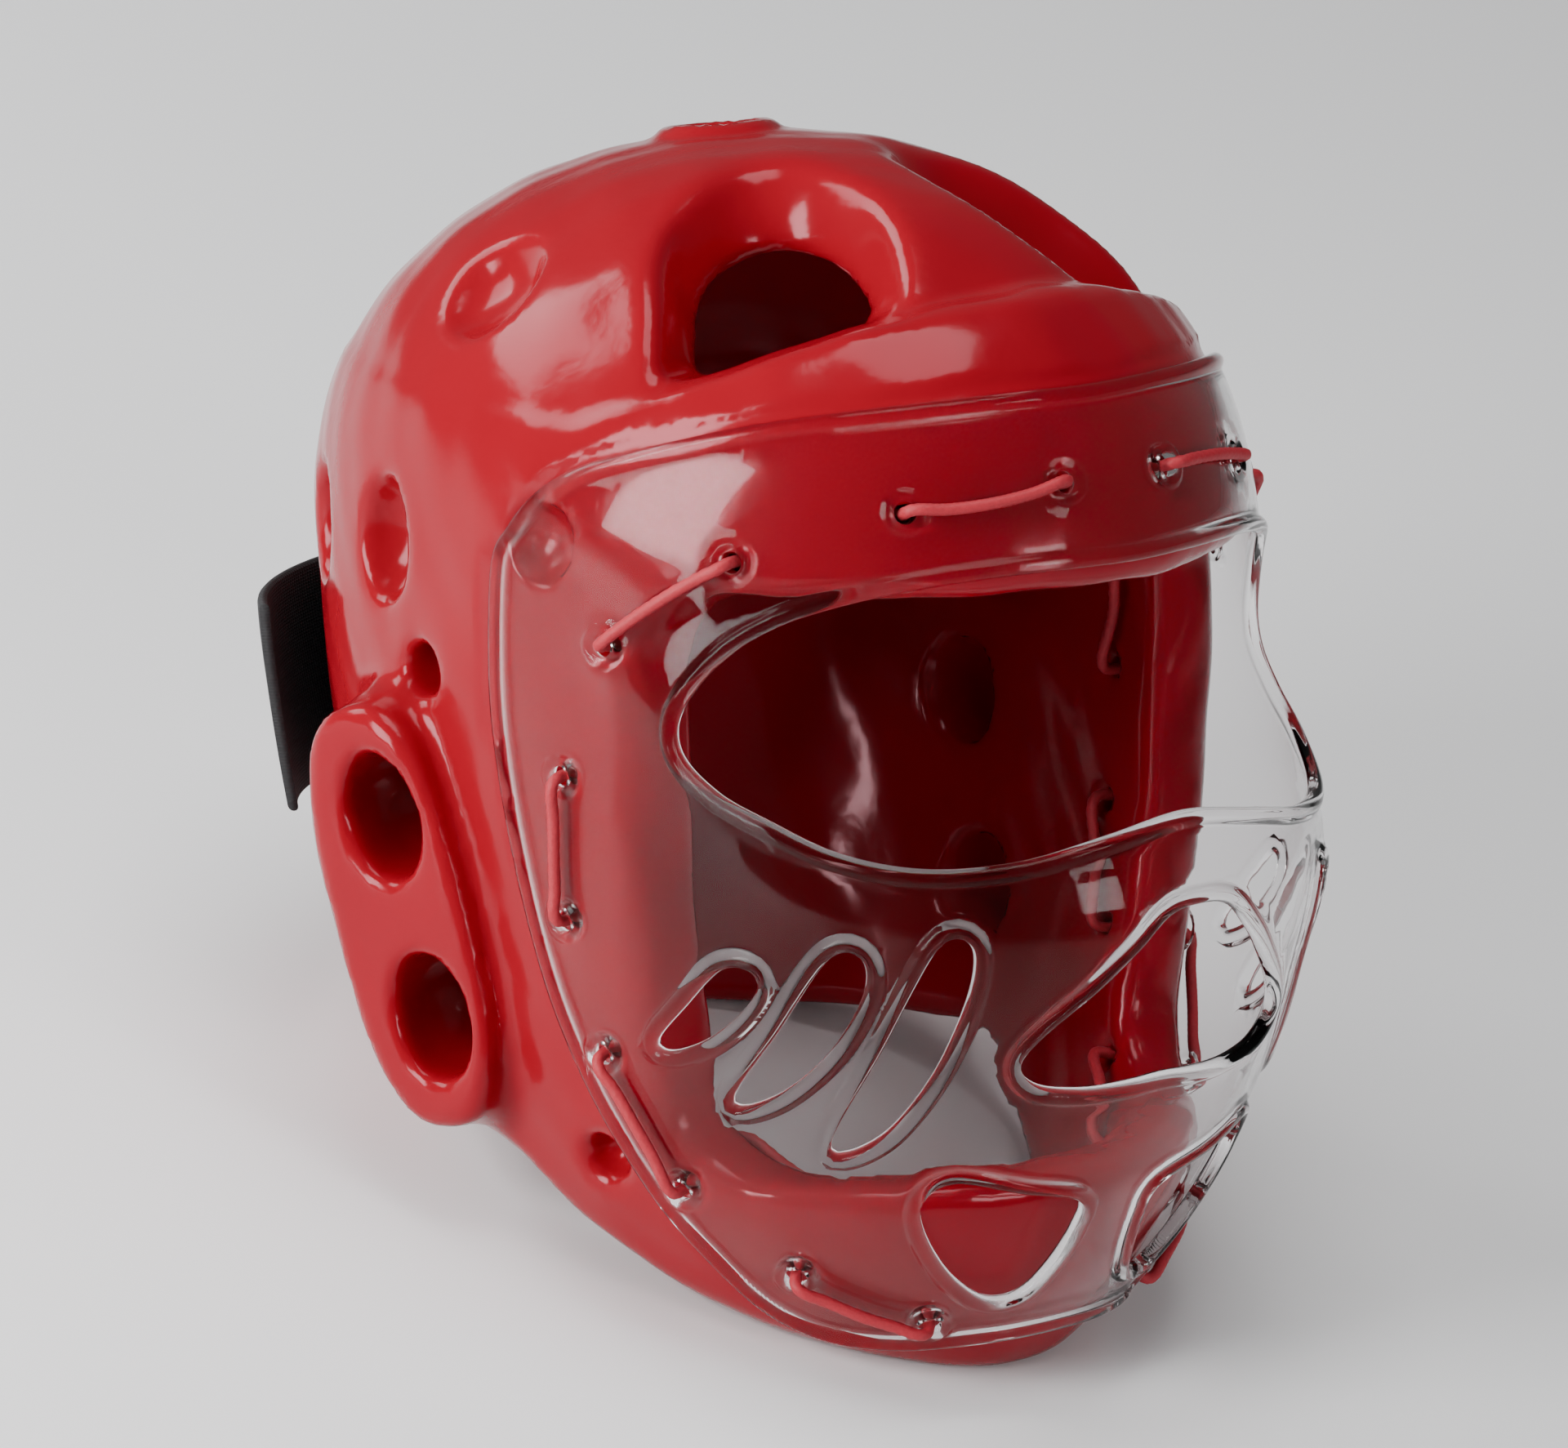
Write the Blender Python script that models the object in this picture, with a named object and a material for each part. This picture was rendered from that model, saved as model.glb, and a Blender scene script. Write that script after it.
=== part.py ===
"""Head guard for sparring, with a clear face mask laced over its face opening.

The pieces are modelled as they are worn: x to the wearer's left, y to the back and z up, from the
point between the ears at eye level.  The empty worn_frame then leans the guard back until it stands
by itself on its chin and its nape, on z = 0, with the origin under the middle of its box.

Places on the guard are given by an azimuth, 0 at the front and 180 at the back, and a height.
Lengths are in metres and angles in degrees.
"""

import math

import bmesh
import bpy
from mathutils import Vector

# Guard: reach of each side from the ears, and heights from eye level
HALF_WIDTH = 0.098
BAND_REACH = 0.118
DOME_REACH = 0.103
REAR_REACH = 0.119
CROWN_HEIGHT = 0.134
BROW_HEIGHT = 0.045
CHIN_DROP = 0.141
FOAM = 0.020
DOME_POWER = 2.15

# Forehead band: height of its top edge at the front, and how far that falls towards the sides
BAND_TOP = 0.109
BAND_FALL = 0.039
BAND_TOP_SIDE = 0.082
LEDGE_SLOPE = 0.0015

# Face opening, seen from the side
FACE_TOP = 0.047
FACE_BOTTOM = 0.090
CHEEK_FRONT = 0.051
FACE_CORNER = 0.018

# Lower rim: the guard stands on its chin and nape, with an arch under each ear
CHIN_FOOT_BACK = 0.056
CHIN_TIP = 0.075
NAPE_FOOT_FRONT = 0.078
NAPE_DROP = 0.090
JAW_ARCH = 0.019

# Arched holes beside the crown: their axis, and the rim and throat seen along it
ARCH_AZIMUTH = 39.5
ARCH_RISE = 13.0
ARCH_SHIFT = 0.003
ARCH_RIM_HALF_WIDTH = 0.0285
ARCH_RIM_TOP = 0.124
ARCH_THROAT_HALF_WIDTH = 0.0175
ARCH_THROAT_TOP = 0.101
ARCH_FOOT = 0.078
ARCH_FOOT_SLOPE = 0.31
ARCH_FLARE = 1.1

# Ear pads
EAR_HEIGHT = 0.0385
EAR_BACK = 0.014
EAR_OUT = 0.1075
EAR_LENGTH = 0.101
EAR_WIDTH = 0.040
EAR_TURN = 15.0
EAR_SLANT = 13.5
EAR_LEAN = 6.5
EAR_HOLE_LENGTH = 0.031
EAR_HOLE_WIDTH = 0.021
EAR_HOLE_SPACING = 0.048
EAR_HOLE_FORWARD = 0.003

# Vents
CROWN_VENT_RADIUS = 0.009
CROWN_VENT_BACK = 0.028
CROWN_VENT_TILT = 8.5
DISH_FLOOR = 0.68
DISH_FLARE = 1.35
SLIT_WIDTH = 0.012
SLIT_TOP = 0.050

# Face mask
MASK_THICKNESS = 0.002
MASK_LIFT = 0.0005
MASK_BULGE = 0.026
BEAD_RADIUS = 0.0018
BEAD_RISE = 0.0010

# Lace
LACE_RADIUS = 0.0014
LACE_HOLE_RADIUS = 0.0025
LACE_BEND = 0.0022

# Strap
STRAP_WIDTH = 0.050
STRAP_THICKNESS = 0.0025
STRAP_HEIGHT = -0.002
STRAP_STANDOFF = 0.004
STRAP_START = 137.0
STRAP_POCKET = 14.0
LOOP_END = 164.0
HOOK_STEP_START = 152.0
HOOK_STEP_END = 162.0
HOOK_FREE = 196.0
HOOK_END = 230.0
HOOK_LIFT = 0.006

# Gap left between two pieces that touch, and the reach of a cutter past what it cuts
GAP = 0.0004
OVERCUT = 0.012

# How finely each form is divided
AZIMUTHS = 36
INNER_AZIMUTHS = 30
DISH_SIDES = 10
HOLE_SIDES = 6
BEAD_SIDES = 4
EAR_SIDES = 18
EAR_HOLE_SIDES = 12
MASK_ROWS = 5
STRAP_STEPS = 22
ARCH_STEPS = 10
SLIT_STEPS = 6
CORNER_STEPS = 5
BISECTIONS = 24
LOWER_ROWS = (0.98, 0.86, 0.73, 0.60, 0.46, 0.32, 0.16, 0.0)
BAND_ROWS = (0.5, 1.0)
DOME_ROWS = (0.0, 0.25, 0.48, 0.68, 0.85, 0.95)
CAVITY_ROWS = (0.28, 0.52, 0.74, 0.92)

# Drop from brow to chin, then half width, front, rear, front squareness, rear squareness
LOWER_SECTIONS = (
    (0.00, 1.000, 1.00, 1.00, 1.95, 2.35),
    (0.12, 1.000, 1.00, 0.99, 2.05, 2.33),
    (0.24, 0.990, 0.99, 0.96, 2.15, 2.30),
    (0.51, 0.940, 0.96, 0.86, 2.22, 2.20),
    (0.75, 0.850, 0.90, 0.74, 2.20, 2.00),
    (0.88, 0.725, 0.83, 0.70, 2.15, 2.00),
    (1.00, 0.550, 0.72, 0.67, 2.10, 2.00),
)

# Drop from brow to chin, then the mask's bulge on the midline
BULGE_SECTIONS = (
    (-0.135, 0.00),
    (-0.040, 0.05),
    (0.000, 0.14),
    (0.134, 0.46),
    (0.253, 0.75),
    (0.376, 1.00),
    (0.511, 0.80),
    (0.618, 0.62),
    (0.780, 0.30),
    (0.887, 0.14),
    (1.000, 0.00),
)

# Share of the way from chin foot to nape foot, then the rim's lift above the floor line
JAW_SECTIONS = (
    (0.00, 0.00),
    (0.10, 0.06),
    (0.19, 0.25),
    (0.30, 0.55),
    (0.36, 0.78),
    (0.42, 0.96),
    (0.49, 1.00),
    (0.60, 0.78),
    (0.75, 0.42),
    (0.90, 0.10),
    (1.00, 0.00),
)

# Azimuth, then the mask's lower and upper edge
MASK_COLUMNS = (
    (0.0, -0.930, 0.680),
    (12.0, -0.934, 0.679),
    (24.0, -0.942, 0.669),
    (35.0, -0.926, 0.654),
    (45.0, -0.869, 0.633),
    (54.0, -0.762, 0.605),
    (62.0, -0.641, 0.576),
    (69.0, -0.507, 0.545),
    (75.0, -0.350, 0.500),
    (79.5, -0.150, 0.437),
    (82.7, 0.095, 0.352),
)

# Azimuth, then the lower and upper edge of the mask's eye opening
EYE_COLUMNS = (
    (0.0, -0.004, 0.397),
    (9.0, -0.025, 0.397),
    (18.0, -0.054, 0.391),
    (27.0, -0.062, 0.373),
    (35.0, -0.042, 0.346),
    (42.0, -0.002, 0.307),
    (48.0, 0.037, 0.248),
    (52.6, 0.096, 0.164),
)

# Outline of each slanted slot in one side of the mask, straight behind and bowed in front
SLOT_OUTLINES = (
    (
        (47.6, -0.254),
        (44.2, -0.246),
        (43.3, -0.275),
        (45.8, -0.330),
        (50.0, -0.380),
        (54.6, -0.408),
        (56.6, -0.396),
        (52.4, -0.328),
    ),
    (
        (35.8, -0.214),
        (32.6, -0.208),
        (32.4, -0.272),
        (35.4, -0.370),
        (40.2, -0.447),
        (45.0, -0.484),
        (46.4, -0.468),
        (41.2, -0.352),
    ),
    (
        (25.6, -0.190),
        (22.6, -0.182),
        (22.6, -0.270),
        (25.0, -0.400),
        (29.0, -0.505),
        (33.4, -0.551),
        (35.0, -0.530),
        (30.3, -0.369),
    ),
)

# Half outline of the opening in front of the mouth, from its apex
MOUTH_OUTLINE = (
    (0.0, -0.150),
    (3.6, -0.161),
    (6.6, -0.208),
    (10.4, -0.273),
    (14.6, -0.340),
    (16.6, -0.392),
    (14.6, -0.431),
    (9.6, -0.447),
    (4.4, -0.447),
    (0.0, -0.443),
)

# Outline of one chin opening in the mask
CHIN_OUTLINE = (
    (6.0, -0.662),
    (13.5, -0.632),
    (21.5, -0.604),
    (24.5, -0.645),
    (23.4, -0.708),
    (19.4, -0.785),
    (14.0, -0.838),
    (9.4, -0.836),
    (6.8, -0.785),
    (5.4, -0.715),
)

# Azimuth and height of the lace holes on one side, from forehead to chin
LACE_HOLES = (
    (7.5, 0.537),
    (26.5, 0.502),
    (47.0, 0.414),
    (64.0, 0.254),
    (70.5, 0.019),
    (71.0, -0.224),
    (65.8, -0.440),
    (55.0, -0.660),
    (39.0, -0.800),
    (20.0, -0.893),
)

# Name, azimuth, height, half width, half height and depth as a share of the foam
VENTS = (
    ("temple_dish", 103.5, 0.785, 0.0100, 0.0105, 0.40),
    ("side_dish", 108.5, 0.347, 0.0085, 0.0115, 0.60),
    ("ear_vent", 99.0, 0.139, 0.0062, 0.0055, 1.70),
    ("brow_dish", 75.0, 0.410, 0.0080, 0.0085, 0.45),
    ("rear_dish", 131.0, 0.317, 0.0085, 0.0115, 0.60),
    ("jaw_dish", 69.0, -0.640, 0.0050, 0.0050, 0.45),
)

# Depth below an ear pad's face, then length and width added and shift forward, in foam thicknesses
EAR_SECTIONS = (
    (2.00, 0.80, 1.30, 0.35),
    (1.00, 0.40, 0.65, 0.20),
    (0.25, 0.00, 0.00, 0.00),
    (0.08, -0.20, -0.20, 0.00),
    (0.00, -0.60, -0.60, 0.00),
)

# Depth below an ear pad's face in foam thicknesses, then the size of its two holes
EAR_HOLE_SECTIONS = (
    (3.00, 0.76),
    (0.50, 0.86),
    (-0.05, 1.00),
    (-0.30, 1.12),
)

# Share of the way from a strap's slot to the back, then the strap's standoff from the foam
STRAP_SECTIONS = (
    (0.00, -1.60),
    (0.12, -0.90),
    (0.24, -0.05),
    (0.38, 0.65),
    (0.55, 1.00),
    (1.00, 1.00),
)


def clear_scene():
    for item in list(bpy.data.objects):
        bpy.data.objects.remove(item, do_unlink=True)


def row_at(rows, share):
    """Values of a table at a share between its rows, on a smooth curve that never overshoots."""
    share = min(max(share, rows[0][0]), rows[-1][0])
    last = len(rows) - 1
    index = max(i for i in range(last) if rows[i][0] <= share)
    step = rows[index + 1][0] - rows[index][0]
    t = (share - rows[index][0]) / step
    values = []
    for column in range(1, len(rows[0])):
        def slope(i):
            return (rows[i + 1][column] - rows[i][column]) / (rows[i + 1][0] - rows[i][0])

        def tangent(i):
            if i == 0:
                return 0.0
            if i == last:
                return slope(last - 1)
            before, after = slope(i - 1), slope(i)
            if before * after <= 0:
                return 0.0
            return 2 * before * after / (before + after)

        low, high = rows[index][column], rows[index + 1][column]
        rise = (2 * t**3 - 3 * t**2 + 1) * low + (3 * t**2 - 2 * t**3) * high
        bend = (t**3 - 2 * t**2 + t) * tangent(index) + (t**3 - t**2) * tangent(index + 1)
        values.append(rise + step * bend)
    return values


def height_at(share):
    """Height of a share of the crown's height, or below eye level of the chin's drop."""
    return share * (CROWN_HEIGHT if share > 0 else CHIN_DROP)


def drop_share(height):
    return (BROW_HEIGHT - height) / (BROW_HEIGHT + CHIN_DROP)


def skin_radius(azimuth, height, reach=BAND_REACH, inset=0.0):
    """Distance of the guard's skin from the upright axis between the ears."""
    half_width, front, rear, front_square, rear_square = row_at(LOWER_SECTIONS, drop_share(height))
    climb = min(max((height - BROW_HEIGHT) / (CROWN_HEIGHT - inset - BROW_HEIGHT), 0.0), 0.9999)
    narrowing = (1 - climb**DOME_POWER) ** (1 / DOME_POWER)
    sine, cosine = math.sin(math.radians(azimuth)), math.cos(math.radians(azimuth))
    length = front * reach if cosine > 0 else rear * REAR_REACH
    power = front_square if cosine > 0 else rear_square
    across = abs(sine) / ((half_width * HALF_WIDTH - inset) * narrowing)
    along = abs(cosine) / ((length - inset) * narrowing)
    return (across**power + along**power) ** (-1 / power)


def mask_radius(azimuth, height):
    """Distance of the middle of the mask's sheet from the upright axis."""
    bulge = row_at(BULGE_SECTIONS, drop_share(height))[0]
    fade = max(math.cos(math.radians(azimuth)), 0.0) ** 3
    return skin_radius(azimuth, height) + MASK_LIFT + MASK_BULGE * bulge * fade


def place(azimuth, height, radius):
    turn = math.radians(azimuth)
    return Vector((radius * math.sin(turn), -radius * math.cos(turn), height))


def mask_point(azimuth, height, offset=0.0):
    """Point of the mask, moved out along its normal."""
    point = place(azimuth, height, mask_radius(azimuth, height))
    if offset:
        point += normal_at(mask_point, azimuth, height) * offset
    return point


def skin_point(azimuth, height, offset=0.0):
    """Point of the guard's skin, moved out along its normal."""
    point = place(azimuth, height, skin_radius(azimuth, height))
    if offset:
        point += normal_at(skin_point, azimuth, height) * offset
    return point


def normal_at(surface, azimuth, height):
    """Outward normal of a surface that is given by azimuth and height."""
    turn, climb = 0.5, 0.001
    across = surface(azimuth + turn, height) - surface(azimuth - turn, height)
    upward = surface(azimuth, height + climb) - surface(azimuth, height - climb)
    return across.cross(upward).normalized()


def material(name, colour, roughness, alpha=1.0):
    shader = bpy.data.materials.new(name)
    shader.use_nodes = True
    principled = shader.node_tree.nodes["Principled BSDF"]
    principled.inputs["Base Color"].default_value = (*colour, 1.0)
    principled.inputs["Roughness"].default_value = roughness
    principled.inputs["Metallic"].default_value = 0.0
    principled.inputs["Alpha"].default_value = alpha
    return shader


def add_object(name, data, parent, shader=None):
    piece = bpy.data.objects.new(name, data)
    bpy.context.scene.collection.objects.link(piece)
    piece.parent = parent
    if shader:
        data.materials.append(shader)
    return piece


def mesh_from(name, mesh):
    """Mesh data with flat faces that point out, shaded smooth."""
    bmesh.ops.triangulate(mesh, faces=mesh.faces)
    bmesh.ops.recalc_face_normals(mesh, faces=mesh.faces)
    data = bpy.data.meshes.new(name)
    mesh.to_mesh(data)
    mesh.free()
    data.shade_smooth()
    data.set_sharp_from_angle(angle=math.radians(35))
    return data


def loft(name, rings, closed=False, tip=None):
    """Mesh through rings of as many points each, capped at both ends or closed to a loop."""
    mesh = bmesh.new()
    loops = [[mesh.verts.new(point) for point in ring] for ring in rings]
    pairs = list(zip(loops, loops[1:] + loops[:1])) if closed else list(zip(loops, loops[1:]))
    for lower, upper in pairs:
        for i in range(len(lower)):
            j = (i + 1) % len(lower)
            mesh.faces.new((lower[i], lower[j], upper[j], upper[i]))
    if not closed:
        mesh.faces.new(loops[0])
        if tip is None:
            mesh.faces.new(loops[-1])
        else:
            apex = mesh.verts.new(tip)
            for i in range(len(loops[-1])):
                j = (i + 1) % len(loops[-1])
                mesh.faces.new((loops[-1][i], loops[-1][j], apex))
    return mesh_from(name, mesh)


def sheet(name, columns, surface, inner, outer, rows):
    """Closed curved sheet over columns of (azimuth, low, high), between two offsets of a surface."""
    mesh = bmesh.new()
    layers = []
    for offset in (inner, outer):
        layers.append([
            [
                mesh.verts.new(surface(azimuth, low + (high - low) * row / rows, offset))
                for row in range(rows + 1)
            ]
            for azimuth, low, high in columns
        ])
    for layer in layers:
        for first, second in zip(layer, layer[1:]):
            for row in range(rows):
                mesh.faces.new((first[row], first[row + 1], second[row + 1], second[row]))
    inside, outside = (rim_of(layer) for layer in layers)
    for i in range(len(inside)):
        j = (i + 1) % len(inside)
        mesh.faces.new((inside[i], inside[j], outside[j], outside[i]))
    return mesh_from(name, mesh)


def rim_of(grid):
    """Points round the edge of a grid of columns, once round."""
    low = [column[0] for column in grid]
    high = [column[-1] for column in grid]
    return low + grid[-1][1:-1] + high[::-1] + grid[0][-2:0:-1]


def mirrored_columns(columns):
    """Columns of both sides, from the wearer's right to the left, with real heights."""
    half = [(azimuth, height_at(low), height_at(high)) for azimuth, low, high in columns]
    return [(-azimuth, low, high) for azimuth, low, high in half[:0:-1]] + half


def column_outline(columns, rows):
    """Outline of columns as azimuths and heights, with the end columns cut into rows."""
    grid = [
        [(azimuth, low + (high - low) * row / rows) for row in range(rows + 1)]
        for azimuth, low, high in columns
    ]
    return rim_of(grid)


def bead(name, outline, surface):
    """Closed bead along an outline on a surface, turned so that no corner points straight out."""
    centres = [surface(azimuth, height, BEAD_RISE) for azimuth, height in outline]
    turns = [2 * math.pi * (k + 0.5) / BEAD_SIDES for k in range(BEAD_SIDES)]
    count = len(centres)
    rings = []
    for i, (azimuth, height) in enumerate(outline):
        along = (centres[(i + 1) % count] - centres[i - 1]).normalized()
        outward = normal_at(surface, azimuth, height)
        across = along.cross(outward).normalized()
        outward = across.cross(along)
        rings.append([
            centres[i] + BEAD_RADIUS * (math.cos(turn) * outward + math.sin(turn) * across)
            for turn in turns
        ])
    return loft(name, rings, closed=True)


def plug(name, outline, surface, inner, outer):
    """Cutter through an outline on a surface, between two offsets."""
    rings = [[surface(azimuth, height, offset) for azimuth, height in outline]
             for offset in (inner, outer)]
    return loft(name, rings)


def oval(centre, side, up, half_width, half_height, count):
    return [
        centre
        + side * (half_width * math.cos(2 * math.pi * i / count))
        + up * (half_height * math.sin(2 * math.pi * i / count))
        for i in range(count)
    ]


def dish(name, centre, normal, half_width, half_height, depth):
    """Cutter for an oval hole with flared sides, or a shallow dish, sunk along a normal."""
    side = Vector((0, 0, 1)).cross(normal).normalized()
    up = normal.cross(side)
    shares = ((-depth, DISH_FLOOR), (0.0, 1.0), (OVERCUT / 3, DISH_FLARE))
    return loft(name, [
        oval(centre + normal * shift, side, up, half_width * share, half_height * share, DISH_SIDES)
        for shift, share in shares
    ])


def prism(name, outline, axis, half_length):
    """Cutter with a flat outline of points, pushed both ways along an axis."""
    rings = [[Vector(point) + Vector(axis) * shift for point in outline]
             for shift in (-half_length, half_length)]
    return loft(name, rings)


def cut(piece, data, parent, operation="DIFFERENCE"):
    """Boolean that keeps its tool as a hidden wire object."""
    tool = add_object(data.name, data, parent)
    tool.hide_render = True
    tool.display_type = "WIRE"
    modifier = piece.modifiers.new(data.name, "BOOLEAN")
    modifier.operation = operation
    modifier.solver = "EXACT"
    modifier.object = tool


def ledge_height(azimuth):
    fall = BAND_FALL * (1 - math.cos(math.radians(azimuth)))
    return max(BAND_TOP - fall, BAND_TOP_SIDE)


def floor_slope():
    """Rise per length of the plane that the guard stands on, in the worn frame."""
    return (CHIN_DROP - NAPE_DROP) / (CHIN_TIP + NAPE_FOOT_FRONT)


def floor_line(y):
    return -CHIN_DROP + floor_slope() * (y + CHIN_TIP)


def guard_skin():
    """Outer form: cheeks and chin, the forehead band up to its ledge, and the dome above it."""
    azimuths = [360 * i / AZIMUTHS - 180 for i in range(AZIMUTHS)]
    bottom = -CHIN_DROP - OVERCUT
    lower = [bottom] + [BROW_HEIGHT - (CHIN_DROP + BROW_HEIGHT) * share for share in LOWER_ROWS]
    rings = [[skin_point(a, height) for a in azimuths] for height in lower]
    for share in BAND_ROWS:
        rings.append([
            skin_point(a, BROW_HEIGHT + share * (ledge_height(a) - BROW_HEIGHT)) for a in azimuths
        ])
    for share in DOME_ROWS:
        climb = math.sin(share * math.pi / 2)
        ring = []
        for a in azimuths:
            start = ledge_height(a) + LEDGE_SLOPE
            height = start + (CROWN_HEIGHT - start) * climb
            ring.append(place(a, height, skin_radius(a, height, DOME_REACH)))
        rings.append(ring)
    return loft("guard_shell", rings, tip=Vector((0, 0, CROWN_HEIGHT)))


def head_cavity():
    """Hollow for the head, one foam thickness inside the skin."""
    azimuths = [360 * i / INNER_AZIMUTHS - 180 for i in range(INNER_AZIMUTHS)]
    top = CROWN_HEIGHT - FOAM
    lower = [BROW_HEIGHT - (CHIN_DROP + BROW_HEIGHT) * share for share in LOWER_ROWS]
    heights = [-CHIN_DROP - 2 * OVERCUT] + lower[1:]
    heights += [BROW_HEIGHT + (top - BROW_HEIGHT) * math.sin(share * math.pi / 2)
                for share in CAVITY_ROWS]
    rings = [
        [place(a, height, skin_radius(a, height, BAND_REACH, FOAM)) for a in azimuths]
        for height in heights
    ]
    return loft("head_cavity", rings, tip=Vector((0, 0, top)))


def face_cutter():
    """Side outline of the face opening, with round corners at the cheeks."""
    front = -BAND_REACH - MASK_BULGE - OVERCUT
    corners = ((FACE_TOP, 1), (-FACE_BOTTOM, -1))
    outline = [(0, front, -FACE_BOTTOM), (0, front, FACE_TOP)]
    for height, sign in corners:
        for i in range(CORNER_STEPS + 1):
            share = i / CORNER_STEPS
            turn = math.pi / 2 * (share if sign < 0 else 1 - share)
            outline.append((
                0,
                -CHEEK_FRONT - FACE_CORNER + FACE_CORNER * math.cos(turn),
                height - sign * FACE_CORNER + sign * FACE_CORNER * math.sin(turn),
            ))
    return prism("face_opening", outline, (1, 0, 0), HALF_WIDTH + OVERCUT)


def rim_cutter():
    """Everything below the floor line and the arches under the ears."""
    front = -BAND_REACH - OVERCUT
    back = REAR_REACH + OVERCUT
    length = NAPE_FOOT_FRONT + CHIN_FOOT_BACK
    outline = [(0, front, floor_line(front))]
    for share, _ in JAW_SECTIONS:
        y = -CHIN_FOOT_BACK + length * share
        outline.append((0, y, floor_line(y) + JAW_ARCH * row_at(JAW_SECTIONS, share)[0]))
    outline.append((0, back, floor_line(back)))
    low = -CHIN_DROP - 4 * OVERCUT
    outline += [(0, back, low), (0, front, low)]
    return prism("lower_rim", outline, (1, 0, 0), HALF_WIDTH + OVERCUT)


def arch_outline(half_width, top):
    """Round-topped outline over a slanted foot, as shifts across and up."""
    outline = []
    for i in range(ARCH_STEPS + 1):
        turn = math.pi * i / ARCH_STEPS
        outline.append((half_width * math.cos(turn), top - half_width + half_width * math.sin(turn)))
    for across in (-half_width, half_width):
        outline.append((across, ARCH_FOOT + ARCH_FOOT_SLOPE * across))
    return outline


def depth_on_skin(base, axis, inset):
    """Distance along an axis at which a line from base leaves the dome, or the hollow in it."""
    low, high = 0.0, HALF_WIDTH + BAND_REACH
    top = CROWN_HEIGHT - inset
    for _ in range(BISECTIONS):
        middle = (low + high) / 2
        point = base + axis * middle
        azimuth = math.degrees(math.atan2(point.x, -point.y))
        inside = point.z < top and math.hypot(point.x, point.y) < skin_radius(
            azimuth, point.z, DOME_REACH if inset == 0 else BAND_REACH, inset)
        low, high = (middle, high) if inside else (low, middle)
    return low


def arch_cutter(side):
    """Flared hole: the rim lies on the dome, the throat on the hollow inside it."""
    turn, rise = math.radians(ARCH_AZIMUTH), math.radians(ARCH_RISE)
    right = Vector((math.cos(turn), -math.sin(turn), 0))
    axis = Vector((-math.sin(turn) * math.cos(rise), -math.cos(turn) * math.cos(rise),
                   math.sin(rise)))
    up = axis.cross(right)
    if up.z < 0:
        up = -up
    rim = arch_outline(ARCH_RIM_HALF_WIDTH, ARCH_RIM_TOP)
    throat = arch_outline(ARCH_THROAT_HALF_WIDTH, ARCH_THROAT_TOP)

    def ring(outline, depths, shift):
        points = []
        for (across, height), depth in zip(outline, depths):
            point = right * (across - ARCH_SHIFT) + up * height + axis * (depth + shift)
            points.append(Vector((-side * point.x, point.y, point.z)))
        return points

    def depths(outline, inset):
        return [depth_on_skin(right * (across - ARCH_SHIFT) + up * height, axis, inset)
                for across, height in outline]

    inner = depths(throat, FOAM)
    outer = depths(rim, 0.0)
    middle = ARCH_RIM_TOP - ARCH_RIM_HALF_WIDTH
    flare = [(across * ARCH_FLARE, middle + (height - middle) * ARCH_FLARE if height > middle else height)
             for across, height in rim]
    name = "arch_hole_left" if side > 0 else "arch_hole_right"
    return loft(name, [
        ring(throat, inner, -2 * OVERCUT),
        ring(throat, inner, 0.0),
        ring(rim, outer, 0.0),
        ring(flare, outer, 2 * OVERCUT),
    ])


def sides():
    return (("right", -1), ("left", 1))


def crown_vent():
    """Round vent through the crown, square to the dome."""
    upright = Vector((0, 0, 1))
    base = Vector((0, CROWN_VENT_BACK, 0))
    centre = base + upright * depth_on_skin(base, upright, 0.0)
    tilt = math.radians(CROWN_VENT_TILT)
    normal = Vector((0, math.sin(tilt), math.cos(tilt)))
    return dish("crown_vent", centre, normal, CROWN_VENT_RADIUS, CROWN_VENT_RADIUS, 2 * FOAM)


def slit_cutter():
    """Slit up the back of the guard, with a round top."""
    half = SLIT_WIDTH / 2
    low = -CHIN_DROP - OVERCUT
    outline = [(-half, 0, low), (half, 0, low)]
    for i in range(SLIT_STEPS + 1):
        turn = math.pi * i / SLIT_STEPS
        outline.append((half * math.cos(turn), 0, SLIT_TOP - half + half * math.sin(turn)))
    middle = REAR_REACH / 2 + OVERCUT
    raised = [Vector(point) + Vector((0, middle, 0)) for point in outline]
    return prism("rear_slit", raised, (0, 1, 0), REAR_REACH / 2 + OVERCUT)


def mask_columns(margin=0.0):
    """Columns of the mask's sheet, with a margin past its edges."""
    columns = mirrored_columns(MASK_COLUMNS)
    spread = 1 + math.degrees(margin / HALF_WIDTH) / MASK_COLUMNS[-1][0]
    return [(azimuth * spread, low - margin, high + margin) for azimuth, low, high in columns]


def mask_seat():
    """Foam that the mask presses away where it is laced down."""
    depth = max(MASK_THICKNESS / 2, BEAD_RADIUS - BEAD_RISE) + GAP
    return sheet("mask_seat", mask_columns(BEAD_RADIUS + 3 * GAP), mask_point, -depth,
                 MASK_BULGE, MASK_ROWS)


def mask_openings():
    """Name and outline of every opening of the mask but the eye opening."""
    openings = []
    for word, side in sides():
        for number, outline in enumerate(SLOT_OUTLINES, 1):
            slot = [(side * azimuth, height_at(share)) for azimuth, share in outline]
            openings.append((f"slot_{number}_{word}", slot))
        chin = [(side * azimuth, height_at(share)) for azimuth, share in CHIN_OUTLINE]
        openings.append((f"chin_opening_{word}", chin))
    half = [(azimuth, height_at(share)) for azimuth, share in MOUTH_OUTLINE]
    mouth = half + [(-azimuth, height) for azimuth, height in half[-2:0:-1]]
    openings.append(("mouth_opening", mouth))
    return openings


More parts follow.
